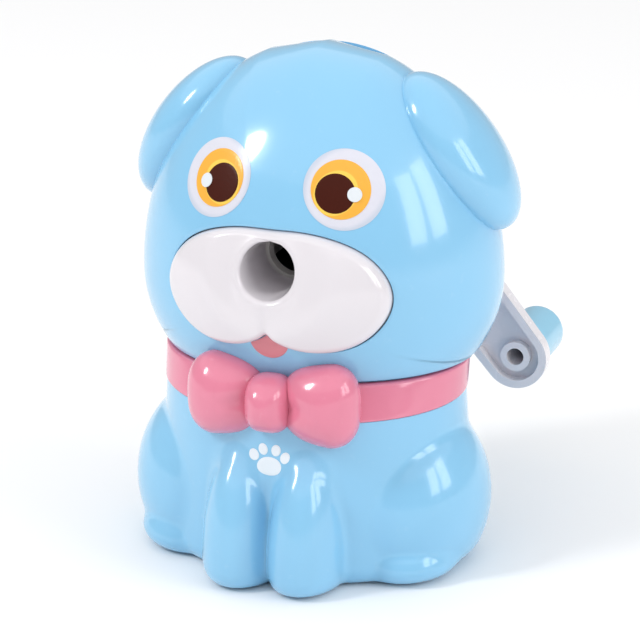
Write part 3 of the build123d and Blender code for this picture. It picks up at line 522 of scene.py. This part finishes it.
def eye_disc(head, face, x, z, radius, layer, side):
    """Printed disc that is round when looked at square to the head: a circle in the plane that
    touches the egg, sent back along the egg's normal by Newton steps on the egg's level, which
    is the sum of the squared shares less 1."""
    middle = head_middle(head)
    radii = np.array([head.half_width, head.half_depth, head.crown])
    centre = np.array([x, float(head_front_y(head, np.array(x), np.array(z))), z])
    normal = (centre - middle) / radii ** 2
    normal /= np.linalg.norm(normal)
    across = np.cross(normal, (0.0, 0.0, 1.0))
    across /= np.linalg.norm(across)
    up = np.cross(across, normal)
    angle = np.linspace(0, 2 * math.pi, 96, endpoint=False)[:, None]
    points = centre + radius * (np.cos(angle) * across + np.sin(angle) * up)
    for _ in range(6):
        share = (points - middle) / radii
        level = (share ** 2).sum(-1, keepdims=True) - 1
        points = points - level / (2 * (share / radii) @ normal)[:, None] * normal
    loop = points[:, [0, 2]] * (side, 1)
    low = -0.05 * MM if layer == 0 else (layer - 0.5) * face.ink
    return printed_patch(loop, np.array([side * x, z]), lambda px, pz, g: head_front_y(head, px, pz, g),
                         low, (layer + 1) * face.ink), False


def tongue_loop(face):
    """The tongue's circle below the muzzle's edge: its lower arc from left to right, then back
    along the muzzle's lower edge."""
    edge = muzzle_loop(face.muzzle_gap + 0.1 * MM)
    near = np.abs(edge[:, 0]) < 2 * face.tongue_radius
    lower = edge[(edge[:, 1] < face.tongue_z + face.tongue_radius) & near]
    lower = lower[np.argsort(lower[:, 0])]
    x = np.linspace(-face.tongue_radius, face.tongue_radius, 161)
    arc = face.tongue_z - np.sqrt(np.clip(face.tongue_radius ** 2 - x ** 2, 0, None))
    top = np.interp(x, lower[:, 0], lower[:, 1])
    keep = top - arc > 0.05 * MM
    x, arc, top = x[keep], arc[keep], top[keep]
    return np.vstack([stack(x, arc), stack(x, top)[::-1]])


# ---------------------------------------------------------------- body shapes
def lump_distance(points, centre, radii):
    """Nearly the distance to an ellipsoid: with k the share of the way out and g how fast it
    grows, k times (k - 1) over g."""
    share = (points - centre) / radii
    k = np.linalg.norm(share, axis=-1)
    return k * (k - 1) / np.linalg.norm(share / radii, axis=-1)


def column_distance(body, points):
    """The same for the upright oval column, whose half sizes change with height."""
    share = points[..., 2] / body.collar_z
    wide = body.foot_width + (body.top_width - body.foot_width) * share
    deep = body.foot_depth + (body.top_depth - body.foot_depth) * share
    x, y = points[..., 0] / wide, (points[..., 1] - body.middle_y) / deep
    k = np.hypot(x, y)
    return k * (k - 1) / np.hypot(x / wide, y / deep)


def blend_nearest(a, b, softness):
    """The nearer of two distances, rounded where they are within the softness of each other."""
    near = np.clip(0.5 + 0.5 * (b - a) / softness, 0, 1)
    return b + (a - b) * near - softness * near * (1 - near)


def body_distance(body, points):
    """Distance to the column, haunches, hind feet and front legs, with soft creases. The legs'
    crease widens upwards, so their tops fade into the chest."""
    folded = points * np.array([1.0, 1, 1])
    folded[..., 0] = np.abs(folded[..., 0])
    near = column_distance(body, folded)
    near = blend_nearest(near, lump_distance(folded, np.array(body.haunch_place), np.array(body.haunch_size)),
                         body.crease)
    near = blend_nearest(near, lump_distance(folded, np.array(body.foot_place), np.array(body.foot_size)),
                         body.crease)
    leg = lump_distance(folded, np.array(body.leg_place), np.array(body.leg_size))
    other = lump_distance(folded * np.array([-1.0, 1, 1]), np.array(body.leg_place), np.array(body.leg_size))
    leg = blend_nearest(leg, other, body.leg_crease)
    fade = smooth_step(folded[..., 2], 14 * MM, 27 * MM)
    return blend_nearest(near, leg, body.leg_crease * (1 + 1.2 * fade))


def body_reach(body, ways, z, steps=36):
    """How far the body's skin is from its upright axis, in each direction and at each height:
    rays walk in from outside by the distance that is left."""
    far = np.full(np.broadcast(ways[..., 0], z).shape, 60 * MM)
    for _ in range(steps):
        points = stack(far * ways[..., 0], body.middle_y + far * ways[..., 1], z)
        far = far - body_distance(body, points)
    return far


def oval_reach(ways, wide, deep, shift):
    """How far an oval is from the body's axis, in each direction, with the oval's middle moved
    along Y by the shift: the outer root of the ray's quadratic."""
    a = (ways[..., 0] / wide) ** 2 + (ways[..., 1] / deep) ** 2
    b = ways[..., 1] * shift / deep ** 2
    c = (shift / deep) ** 2 - 1
    return (b + np.sqrt(b * b - a * c)) / a


def body_grid(body):
    """Ring of rows: up the outside, over the shoulder and the spigot, down the throat and the
    inner side, and in to the base plate's opening."""
    angle = np.linspace(-math.pi, math.pi, 520, endpoint=False)
    ways = stack(np.cos(angle), np.sin(angle))
    low, high = body.floor_z, body.collar_z
    across, down = roll(9)
    levels = np.linspace(low, high, 150)
    outside = body_reach(body, ways[None], levels[:, None])
    below = np.clip((low + body.sole - levels) / body.sole, 0, 1)
    outside = outside - (body.sole * 0.75 * (1 - np.sqrt(1 - below ** 2)))[:, None]
    rows = [(r, z) for r, z in zip(outside, levels)]
    deck = body.collar_z + body.collar_height
    thick = body.collar_thick
    neck = oval_reach(ways, body.top_width - thick, body.top_depth - thick, 0.0)
    rows.append((neck, high))
    rows.append((oval_reach(ways, body.neck_width - thick, body.neck_depth - thick,
                            body.neck_y - body.middle_y), deck))
    shift = body.spigot_y - body.middle_y
    spigot = oval_reach(ways, body.spigot_width, body.spigot_depth, shift)
    top = deck + body.spigot_height
    edge = body.spigot_edge
    rows.append((spigot, deck))
    rows += [(spigot - edge * a, top - edge * d) for a, d in zip(across[::2], down[::2])]
    throat = oval_reach(ways, body.spigot_width - body.spigot_wall,
                        body.spigot_depth - body.spigot_wall, shift)
    rows += [(throat + edge * a, top - edge * d) for a, d in zip(across[::-2], down[::-2])]
    ceiling = high - body.wall
    ledge = body.ledge_z + body.ledge
    rows.append((throat, ceiling - 1 * MM))
    inner_levels = np.linspace(ceiling - 1.2 * MM, ledge + 0.4 * MM, 24)
    inner = body_reach(body, ways[None], inner_levels[:, None]) - body.wall
    rows += [(r, z) for r, z in zip(inner, inner_levels)]
    opening = oval_reach(ways, body.opening_width, body.opening_depth, 0.0)
    rows.append((np.minimum(opening - body.ledge, inner[-1]), ledge))
    rows.append((opening - body.ledge, body.ledge_z))
    rows.append((opening, body.ledge_z))
    rows.append((opening, low))
    return np.array([stack(r * ways[:, 0], body.middle_y + r * ways[:, 1], np.full(len(angle), z))
                     for r, z in rows])


def chest_y(body, x, z, grow=0.0):
    """Depth of the body's front skin over a place in the front view: a ray along Y walks in from
    the front by the distance that is left."""
    y = np.full(np.broadcast(x, z).shape, -45 * MM)
    for _ in range(48):
        y = y + body_distance(body, stack(x, y, z))
    return y - grow


def collar_grid(body):
    """Band round the neck: an upright strip with rounded edges, carried round an oval whose half
    sizes and middle change with height."""
    angle = np.linspace(-math.pi, math.pi, 360, endpoint=False)
    ways = stack(np.cos(angle), np.sin(angle))
    thick, edge = body.collar_thick - body.collar_gap, body.collar_edge
    low, high = body.collar_z, body.collar_z + body.collar_height
    low_wide, low_deep = body.top_width + body.collar_step, body.top_depth + body.collar_step
    across, down = roll(6)

    def oval(z, inset):
        share = (z - low) / (high - low)
        wide = low_wide + (body.neck_width - low_wide) * share
        deep = low_deep + (body.neck_depth - low_deep) * share
        return oval_reach(ways, wide - inset, deep - inset, (body.neck_y - body.middle_y) * share)

    corners = [(low + edge * a, edge * d) for a, d in zip(across, down)]
    corners += [(z, 0.0) for z in np.linspace(low + edge, high - edge, 8)[1:-1]]
    corners += [(high - edge * a, edge * d) for a, d in zip(across[::-1], down[::-1])]
    corners += [(high, thick), (low, thick)]
    rows = [stack(oval(z, inset) * ways[:, 0], body.middle_y + oval(z, inset) * ways[:, 1],
                  np.full(len(angle), z)) for z, inset in corners]
    return np.array(rows)


def pillow_grid(size, fullness, rows=72, columns=96):
    """Squarish ball round the Y axis: each coordinate is the half size times a cosine or sine
    raised to 2 over the fullness, with its sign kept."""
    around = np.linspace(0, 2 * math.pi, columns, endpoint=False)[None, :]
    down = np.linspace(0, math.pi, rows)[:, None]
    power = 2 / fullness

    def soft(value, sharpness):
        return np.sign(value) * np.abs(value) ** sharpness

    x = np.sin(down) * soft(np.cos(around), power)
    z = np.sin(down) * soft(np.sin(around), power)
    return stack(x * size[0], -np.cos(down) * size[1], z * size[2])


def lobe_grid(bow):
    """One lobe: a squarish pillow, lower beside the knot and fuller at its outer end, with a
    shallow fold that runs out from the knot."""
    grid = pillow_grid(np.array(bow.lobe_size), bow.fullness)
    out = grid[..., 0] / bow.lobe_size[0]
    grid[..., 2] *= 1 - bow.lobe_taper * np.clip(0.35 - out, 0, 2)
    fold = np.exp(-(grid[..., 2] / (1.6 * MM)) ** 2) * np.clip(0.2 - out, 0, 1)
    front = grid[..., 1] < 0
    grid[..., 1] += np.where(front, 0.9 * MM * fold, 0)
    grid[..., 1] *= 1 - 0.16 * np.clip(-out, 0, 1)
    return grid + np.array(bow.lobe_place)


def knot_grid(bow):
    return pillow_grid(np.array(bow.knot_size), bow.fullness + 0.2) + np.array(bow.knot_place)


# ---------------------------------------------------------------- materials
class Wire:
    """An output socket of a material. Arithmetic on it adds Math nodes."""

    def __init__(self, sheet, socket):
        self.sheet, self.socket = sheet, socket

    def _math(self, operation, *values):
        return self.sheet.node("ShaderNodeMath", {"operation": operation}, dict(enumerate(values)))

    def __add__(self, other):
        return self._math("ADD", self, other)

    def __sub__(self, other):
        return self._math("SUBTRACT", self, other)

    def __rsub__(self, other):
        return self._math("SUBTRACT", other, self)

    def __mul__(self, other):
        return self._math("MULTIPLY", self, other)

    def __truediv__(self, other):
        return self._math("DIVIDE", self, other)

    def __rtruediv__(self, other):
        return self._math("DIVIDE", other, self)

    def __pow__(self, other):
        return self._math("POWER", self, other)

    def __gt__(self, other):
        return self._math("GREATER_THAN", self, other)

    __radd__ = __add__
    __rmul__ = __mul__


class Sheet:
    """A material's nodes, with one method that adds any of them."""

    def __init__(self, name):
        self.material = bpy.data.materials.new(name)
        self.material.use_nodes = True
        self.tree = self.material.node_tree
        self.tree.nodes.clear()
        self.here = self.node("ShaderNodeTexCoord", out="Object")

    def node(self, kind, settings=None, sockets=None, out=0):
        """Add a node: its settings first, then the values or links of its sockets."""
        made = self.tree.nodes.new(kind)
        for key, value in (settings or {}).items():
            if key == "stops":
                self.stops(made.color_ramp, value)
            else:
                setattr(made, key, value)
        for key, value in (sockets or {}).items():
            if isinstance(value, Wire):
                self.tree.links.new(value.socket, made.inputs[key])
            else:
                made.inputs[key].default_value = value
        return Wire(self, made.outputs[out])

    def stops(self, ramp, stops):
        while len(ramp.elements) < len(stops):
            ramp.elements.new(0.5)
        for element, (position, value) in zip(ramp.elements, stops):
            element.position = position
            element.color = (*value, 1) if hasattr(value, "__len__") else (value, value, value, 1)

    def noise(self, scale, detail=3.0, rough=0.5, vector=None):
        sockets = {"Vector": vector or self.here, "Scale": scale, "Detail": detail, "Roughness": rough}
        return self.node("ShaderNodeTexNoise", {"noise_dimensions": "3D"}, sockets)

    def ramp(self, value, stops):
        return self.node("ShaderNodeValToRGB", {"stops": stops}, {0: value})

    def mix(self, share, a, b):
        """Colour mix; plain colours are given as three numbers."""
        a, b = ((*c, 1.0) if not isinstance(c, Wire) else c for c in (a, b))
        return self.node("ShaderNodeMix", {"data_type": "RGBA"}, {0: share, 6: a, 7: b}, out=2)

    def stretched(self, scale):
        """Object coordinates, stretched along each axis."""
        return self.node("ShaderNodeMapping", None, {"Vector": self.here, "Scale": scale})

    def bump(self, height, strength, distance, under=None):
        sockets = {"Height": height, "Strength": strength, "Distance": distance}
        if under:
            sockets["Normal"] = under
        return self.node("ShaderNodeBump", None, sockets)

    def surface(self, colour, roughness, normal, **constants):
        """Finish with the main shader. Constants are set on its own sockets."""
        sockets = {"Base Color": colour, "Roughness": roughness, "Normal": normal}
        sockets.update({key.replace("_", " "): value for key, value in constants.items()})
        shader = self.node("ShaderNodeBsdfPrincipled", None, sockets)
        self.node_output(shader)
        return self.material

    def node_output(self, shader):
        made = self.tree.nodes.new("ShaderNodeOutputMaterial")
        self.tree.links.new(shader.socket, made.inputs["Surface"])


def moulded_plastic(name, colour, deep, roughness=0.16, peel=0.25, coat=0.5):
    """Glossy moulded plastic: slow colour drift, faint flow streaks, the mould's orange peel and
    fine handling scratches that only change the gloss."""
    sheet = Sheet(name)
    drift = sheet.noise(26.0, 2.0)
    streaks = sheet.noise(1.0, 3.0, 0.6, sheet.stretched((55.0, 55.0, 9.0)))
    shade = sheet.mix(drift * 0.65 + streaks * 0.25, colour, deep)
    dust = sheet.ramp(sheet.noise(420.0, 4.0, 0.7), ((0.62, 0.0), (0.80, 1.0)))
    shade = sheet.mix(dust * 0.05, shade, (0.9, 0.9, 0.9))
    hairs = sheet.noise(1.0, 5.0, 0.65, sheet.stretched((900.0, 260.0, 70.0)))
    cross = sheet.noise(1.0, 5.0, 0.65, sheet.stretched((110.0, 800.0, 620.0)))
    scratches = sheet.ramp(hairs, ((0.60, 0.0), (0.66, 1.0))) + sheet.ramp(cross, ((0.61, 0.0), (0.68, 1.0)))
    gloss = roughness + drift * 0.05 + scratches * 0.04
    height = sheet.noise(310.0, 2.0, 0.4) * peel + sheet.noise(1500.0, 2.0) * 0.05
    normal = sheet.bump(height, 0.18, 0.0004)
    return sheet.surface(shade, gloss, normal, Coat_Weight=coat, Coat_Roughness=0.05, IOR=1.5)


def satin_plastic(name, colour, deep, roughness=0.42, grain=0.5):
    """Duller inner plastic with a fine spark-eroded grain."""
    sheet = Sheet(name)
    drift = sheet.noise(60.0, 3.0)
    shade = sheet.mix(drift, colour, deep)
    grains = sheet.noise(2600.0, 2.0, 0.6)
    smear = sheet.noise(1.0, 3.0, 0.6, sheet.stretched((40.0, 160.0, 40.0)))
    gloss = roughness + drift * 0.08 + smear * 0.08
    normal = sheet.bump(grains * grain + smear * 0.2, 0.25, 0.0003)
    return sheet.surface(shade, gloss, normal, IOR=1.46)


def ink_print(name, colour, deep, roughness=0.3):
    """Pad-printed ink: even colour with faint mottling and a slightly pebbled film."""
    sheet = Sheet(name)
    mottle = sheet.noise(700.0, 4.0, 0.6)
    shade = sheet.mix(mottle * 0.35, colour, deep)
    gloss = roughness + sheet.noise(240.0, 3.0) * 0.1
    normal = sheet.bump(sheet.noise(1900.0, 2.0), 0.12, 0.0002)
    return sheet.surface(shade, gloss, normal, Specular_IOR_Level=0.12)


def from_eye(sheet, x, z):
    """Distance in the front view from a point that is the same on both sides."""
    parts = sheet.node("ShaderNodeSeparateXYZ", None, {0: sheet.here})
    node = parts.socket.node
    across = sheet.node("ShaderNodeMath", {"operation": "ABSOLUTE"}, {0: parts}) - x
    up = Wire(sheet, node.outputs["Z"]) - z
    return (across ** 2.0 + up ** 2.0) ** 0.5


def ringed_print(name, inner, outer, x, z, low, high, roughness=0.2):
    """Ink whose colour changes from an inner to an outer colour at a distance from a centre."""
    sheet = Sheet(name)
    far = from_eye(sheet, x, z)
    share = sheet.node("ShaderNodeMapRange", {"interpolation_type": "SMOOTHSTEP"},
                       {"Value": far, "From Min": low, "From Max": high})
    mottle = sheet.noise(800.0, 4.0, 0.6)
    shade = sheet.mix(share, inner, outer)
    shade = sheet.mix(mottle * 0.12, shade, tuple(v * 0.75 for v in outer))
    gloss = roughness + mottle * 0.06
    normal = sheet.bump(sheet.noise(1900.0, 2.0), 0.12, 0.0002)
    return sheet.surface(shade, gloss, normal, Specular_IOR_Level=0.35)


def turned_metal(name, colour, roughness=0.28, across=(300.0, 5200.0, 300.0)):
    """Metal with fine tool marks across its axis and a few dull stains."""
    sheet = Sheet(name)
    marks = sheet.noise(1.0, 4.0, 0.6, sheet.stretched(across))
    stains = sheet.ramp(sheet.noise(260.0, 4.0, 0.65), ((0.5, 0.0), (0.75, 1.0)))
    shade = sheet.mix(stains * 0.4 + marks * 0.2, colour, tuple(v * 0.6 for v in colour))
    gloss = roughness + marks * 0.12 + stains * 0.15
    normal = sheet.bump(marks, 0.3, 0.0002)
    return sheet.surface(shade, gloss, normal, Metallic=1.0)


def closed_cell_foam(name, colour):
    """Rubbery foam pad: small open cells and a matt face."""
    sheet = Sheet(name)
    cells = sheet.node("ShaderNodeTexVoronoi", {"feature": "F1"}, {"Vector": sheet.here, "Scale": 1700.0})
    clouds = sheet.noise(90.0, 4.0)
    shade = sheet.mix(clouds, colour, tuple(min(1.0, v * 2.2) for v in colour))
    gloss = 0.85 + clouds * 0.1
    normal = sheet.bump(cells, 0.8, 0.0005)
    return sheet.surface(shade, gloss, normal)


def finish_named(name):
    """The material of that name, made on first use from the finishes."""
    if name in bpy.data.materials:
        return bpy.data.materials[name]
    look = bpy.context.scene.sharpener_finish
    face = bpy.context.scene.sharpener_face

    def of(field):
        return tuple(getattr(look, field))

    def darker(field, share=0.85):
        return tuple(v * share for v in of(field))

    makers = {
        "light_blue_shell": lambda: moulded_plastic(name, of("shell"), of("shell_deep")),
        "pink_collar": lambda: moulded_plastic(name, of("pink"), of("pink_deep"), 0.17, 0.3),
        "white_muzzle": lambda: moulded_plastic(name, of("white"), darker("white", 0.96), 0.15, 0.25),
        "white_crank": lambda: moulded_plastic(name, of("crank"), darker("crank", 0.95), 0.24, 0.3, 0.3),
        "blue_knob": lambda: moulded_plastic(name, of("knob"), darker("knob", 0.9), 0.2, 0.3, 0.4),
        "natural_inner": lambda: satin_plastic(name, of("inner"), darker("inner", 0.92)),
        "black_housing": lambda: satin_plastic(name, of("black"), tuple(v * 1.6 for v in of("black")), 0.38),
        "eye_white_print": lambda: ringed_print(name, of("eye_white"), of("eye_rim"), face.eye_x, face.eye_z,
                                                0.82 * face.eye_radius, 0.97 * face.eye_radius),
        "iris_print": lambda: ringed_print(name, of("iris_light"), of("iris"), face.pupil_x, face.pupil_z,
                                           face.pupil_radius * 1.02, face.pupil_radius * 1.07),
        "pupil_print": lambda: ink_print(name, of("pupil"), darker("pupil", 0.6)),
        "glint_print": lambda: ink_print(name, of("glint"), darker("glint", 0.93)),
        "tongue_print_coral": lambda: ink_print(name, of("tongue"), darker("tongue", 0.9), 0.28),
        "paw_print_white": lambda: ink_print(name, of("paw"), darker("paw", 0.95)),
        "foam_underside": lambda: closed_cell_foam(name, of("foam")),
        "steel_fastener": lambda: turned_metal(name, of("steel")),
        "cutter_steel": lambda: turned_metal(name, of("cutter"), 0.34, (2200.0, 300.0, 2200.0)),
        "brass_bush": lambda: turned_metal(name, of("brass"), 0.3),
    }
    return makers[name]()


NODE_FINISH = {
    "head_rear_shell": "light_blue_shell", "base_plate": "natural_inner", "base_pad": "foam_underside",
    "base_screws": "steel_fastener", "neck_ring": "natural_inner", "head_screws": "steel_fastener",
    "gear_housing": "black_housing", "housing_screws": "steel_fastener", "ring_gear": "natural_inner",
    "shaft_bush": "brass_bush", "cutter_carrier": "natural_inner", "cutter_pin": "steel_fastener",
    "crank_shaft": "steel_fastener", "crank_arm": "white_crank", "arm_screw": "steel_fastener",
    "helical_cutter": "cutter_steel", "cutter_pinion": "cutter_steel", "crank_knob": "blue_knob",
}


# ---------------------------------------------------------------- operators
class SHARPENER_OT_body(bpy.types.Operator):
    """Moulded body with haunches, feet and front legs"""
    bl_idname = "sharpener.body"
    bl_label = "Body"

    def execute(self, context):
        grid = body_grid(context.scene.sharpener_body)
        make_piece("moulded_body", [(grid, True)], finish_named("light_blue_shell"),
                   "base", "shell_blue", ("body_shell",), 50)
        return {"FINISHED"}


class SHARPENER_OT_paw_print(bpy.types.Operator):
    """Paw print on the chest: a pad and four toes"""
    bl_idname = "sharpener.paw_print"
    bl_label = "Paw print"

    def execute(self, context):
        body, face = context.scene.sharpener_body, context.scene.sharpener_face
        angle = np.linspace(0, 2 * math.pi, 48, endpoint=False)
        marks = [(0.0, body.paw_z, body.pad_width, body.pad_height, 0.0)]
        for degrees in TOE_ANGLES:
            a = math.radians(degrees)
            marks.append((body.toes_width * math.cos(a), body.paw_z + body.toes_height * math.sin(a),
                          body.toe_width, body.toe_height, (a - QUARTER) / 2))
        grids = []
        for x, z, wide, high, lean in marks:
            flat = stack(wide * np.cos(angle), high * np.sin(angle))
            spin = np.array([[math.cos(lean), math.sin(lean)], [-math.sin(lean), math.cos(lean)]])
            centre = np.array([x, z])
            grids.append((printed_patch(flat @ spin + centre, centre,
                                        lambda px, pz, g: chest_y(body, px, pz, g),
                                        -0.1 * MM, face.ink, rows=8), False))
        make_piece("paw_print", grids, finish_named("paw_print_white"), "base", "print_white",
                   ("chest_print",))
        return {"FINISHED"}


class SHARPENER_OT_collar_bow(bpy.types.Operator):
    """Collar band with the bow's two lobes and knot"""
    bl_idname = "sharpener.collar_bow"
    bl_label = "Collar and bow"

    def execute(self, context):
        bow = context.scene.sharpener_bow
        lobe = lobe_grid(bow)
        grids = [(collar_grid(context.scene.sharpener_body), True), (lobe, False),
                 (mirrored(lobe), False), (knot_grid(bow), False)]
        make_piece("collar_and_bow", grids, finish_named("pink_collar"), "base", "collar_pink",
                   ("collar_bow",), 60)
        return {"FINISHED"}


class SHARPENER_OT_head(bpy.types.Operator):
    """Front head shell with both ears"""
    bl_idname = "sharpener.head"
    bl_label = "Head and ears"

    def execute(self, context):
        head, face = context.scene.sharpener_head, context.scene.sharpener_face
        ear = ear_grid(head)
        grids = [(front_shell_grid(head, face), True), (ear, False), (mirrored(ear), False)]
        make_piece("head_with_ears", grids, finish_named("light_blue_shell"), "head", "shell_blue",
                   ("head_front_shell",), 50)
        return {"FINISHED"}


class SHARPENER_OT_muzzle(bpy.types.Operator):
    """White muzzle with the pencil's guide tube"""
    bl_idname = "sharpener.muzzle"
    bl_label = "Muzzle"

    def execute(self, context):
        head, face = context.scene.sharpener_head, context.scene.sharpener_face
        make_piece("muzzle", [(muzzle_grid(head, face), True)], finish_named("white_muzzle"),
                   "head", "muzzle_white", ("muzzle_plate",), 50)
        return {"FINISHED"}


class SHARPENER_OT_eyes(bpy.types.Operator):
    """Printed eyes: white, iris, pupil and glint"""
    bl_idname = "sharpener.eyes"
    bl_label = "Eyes"

    def execute(self, context):
        head, face = context.scene.sharpener_head, context.scene.sharpener_face
        layers = (
            ("eye_white_discs", "eye_whites", "eye_white_print", "print_white",
             face.eye_x, face.eye_z, face.eye_radius),
            ("iris_discs", "eye_irises", "iris_print", "print_amber",
             face.eye_x - face.iris_shift, face.eye_z, face.iris_radius),
            ("pupil_discs", "eye_pupils", "pupil_print", "print_brown",
             face.pupil_x, face.pupil_z, face.pupil_radius),
            ("glint_discs", "eye_glints", "glint_print", "print_glint",
             face.glint_x, face.glint_z, face.glint_radius),
        )
        for layer, (name, node, finish, slot, x, z, radius) in enumerate(layers):
            grids = [eye_disc(head, face, x, z, radius, layer, side) for side in (1, -1)]
            make_piece(name, grids, finish_named(finish), "head", slot, (node,))
        return {"FINISHED"}


class SHARPENER_OT_tongue(bpy.types.Operator):
    """Tongue below the muzzle's notch"""
    bl_idname = "sharpener.tongue"
    bl_label = "Tongue"

    def execute(self, context):
        head, face = context.scene.sharpener_head, context.scene.sharpener_face
        loop = tongue_loop(face)
        grid = printed_patch(loop, loop.mean(0), lambda x, z, g: head_front_y(head, x, z, g),
                             -0.1 * MM, face.ink, 0.25 * MM, 18)
        make_piece("tongue", [(grid, False)], finish_named("tongue_print_coral"), "head",
                   "print_coral", ("tongue_print",))
        return {"FINISHED"}


class SHARPENER_OT_mechanism(bpy.types.Operator):
    """Finishes of the housing, gears, cutter, crank, screws and underside"""
    bl_idname = "sharpener.mechanism"
    bl_label = "Mechanism finishes"

    def execute(self, context):
        for node, finish in NODE_FINISH.items():
            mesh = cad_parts[node].data
            mesh.materials.clear()
            mesh.materials.append(finish_named(finish))
        return {"FINISHED"}


# Softboxes: name, shape, place and size in metres, power in watts
SOFTBOXES = (
    ("key", "ELLIPSE", (-0.68, -0.64, 0.80), (0.24, 0.38), 5.0),
    ("window_0", "RECTANGLE", (0.80, -0.30, 0.36), (0.20, 0.44), 1.2),
    ("window_1", "RECTANGLE", (0.80, -0.04, 0.36), (0.20, 0.44), 1.2),
)
LIGHT_AIM = (0.0, 0.0, 0.05)
SKY_POWER, SKY_ANGLE = 1.45, 120
WORLD_LEVEL = 0.45
FLOOR_SIDE = 3.0


def soft_light(name, shape, spot, size, power):
    """Softbox that looks at the object."""
    light = bpy.data.lights.new(name, "AREA")
    light.shape = shape
    light.size, light.size_y = size
    light.energy = power
    lamp = bpy.data.objects.new(name, light)
    lamp.location = spot
    lamp.rotation_euler = (Vector(LIGHT_AIM) - Vector(spot)).to_track_quat("-Z", "Y").to_euler()
    bpy.context.scene.collection.objects.link(lamp)
    return lamp


class SHARPENER_OT_stage(bpy.types.Operator):
    """Pale floor, soft studio light and camera"""
    bl_idname = "sharpener.stage"
    bl_label = "Stage"

    def execute(self, context):
        stage, scene = context.scene.sharpener_stage, context.scene
        side = FLOOR_SIDE
        mesh = bpy.data.meshes.new("floor")
        mesh.from_pydata([(-side, -side, 0), (side, -side, 0), (side, side, 0), (-side, side, 0)],
                         [], [(0, 1, 2, 3)])
        floor = bpy.data.objects.new("floor", mesh)
        scene.collection.objects.link(floor)
        sheet = Sheet("pale_floor")
        clouds = sheet.noise(3.0, 2.0)
        shade = sheet.mix(clouds * 0.2, tuple(stage.floor), tuple(v * 0.98 for v in stage.floor))
        mesh.materials.append(sheet.surface(shade, 0.6 + clouds * 0.1, sheet.bump(clouds, 0.02, 0.001)))

        world = bpy.data.worlds.new("studio")
        scene.world = world
        world.use_nodes = True
        world.node_tree.nodes["Background"].inputs["Color"].default_value = (1, 1, 1, 1)
        world.node_tree.nodes["Background"].inputs["Strength"].default_value = WORLD_LEVEL * stage.fill

        for name, shape, spot, size, power in SOFTBOXES:
            soft_light(name, shape, spot, size, power * stage.key)
        sky = bpy.data.lights.new("sky", "SUN")
        sky.energy, sky.angle = SKY_POWER * stage.fill, math.radians(SKY_ANGLE)
        scene.collection.objects.link(bpy.data.objects.new("sky", sky))

        a, e = stage.azimuth, stage.elevation
        back = Vector((math.sin(a) * math.cos(e), -math.cos(a) * math.cos(e), math.sin(e)))
        lens = bpy.data.cameras.new("camera")
        lens.lens, lens.sensor_width = stage.lens, 36.0
        lens.clip_start, lens.clip_end = 0.01, 20.0
        camera = bpy.data.objects.new("camera", lens)
        camera.location = Vector(stage.aim) + back * stage.distance
        camera.rotation_euler = (-back).to_track_quat("-Z", "Y").to_euler()
        scene.collection.objects.link(camera)
        scene.camera = camera
        scene.view_settings.view_transform = "Standard"
        return {"FINISHED"}


OPERATORS = (SHARPENER_OT_body, SHARPENER_OT_paw_print, SHARPENER_OT_collar_bow, SHARPENER_OT_head,
             SHARPENER_OT_muzzle, SHARPENER_OT_eyes, SHARPENER_OT_tongue, SHARPENER_OT_mechanism,
             SHARPENER_OT_stage)


class SHARPENER_PT_panel(bpy.types.Panel):
    """Lists the sizes and the steps that build the sharpener's looks"""
    bl_idname = "SHARPENER_PT_panel"
    bl_label = "Puppy sharpener"
    bl_space_type = "VIEW_3D"
    bl_region_type = "UI"
    bl_category = "Sharpener"

    def draw(self, context):
        for operator in OPERATORS:
            self.layout.operator(operator.bl_idname)
        for name, group in GROUPS.items():
            box = self.layout.box()
            for field in group.__annotations__:
                box.prop(getattr(context.scene, name), field)


def register():
    for group in GROUPS.values():
        bpy.utils.register_class(group)
    for kind in (*OPERATORS, SHARPENER_PT_panel):
        bpy.utils.register_class(kind)
    for name, group in GROUPS.items():
        setattr(bpy.types.Scene, name, PointerProperty(type=group))


def unregister():
    for name in GROUPS:
        delattr(bpy.types.Scene, name)
    for kind in (SHARPENER_PT_panel, *reversed(OPERATORS)):
        bpy.utils.unregister_class(kind)
    for group in reversed(GROUPS.values()):
        bpy.utils.unregister_class(group)


def main():
    """Build every piece."""
    register()
    for operator in OPERATORS:
        space, name = operator.bl_idname.split(".")
        getattr(getattr(bpy.ops, space), name)()


if __name__ == "__main__":
    main()
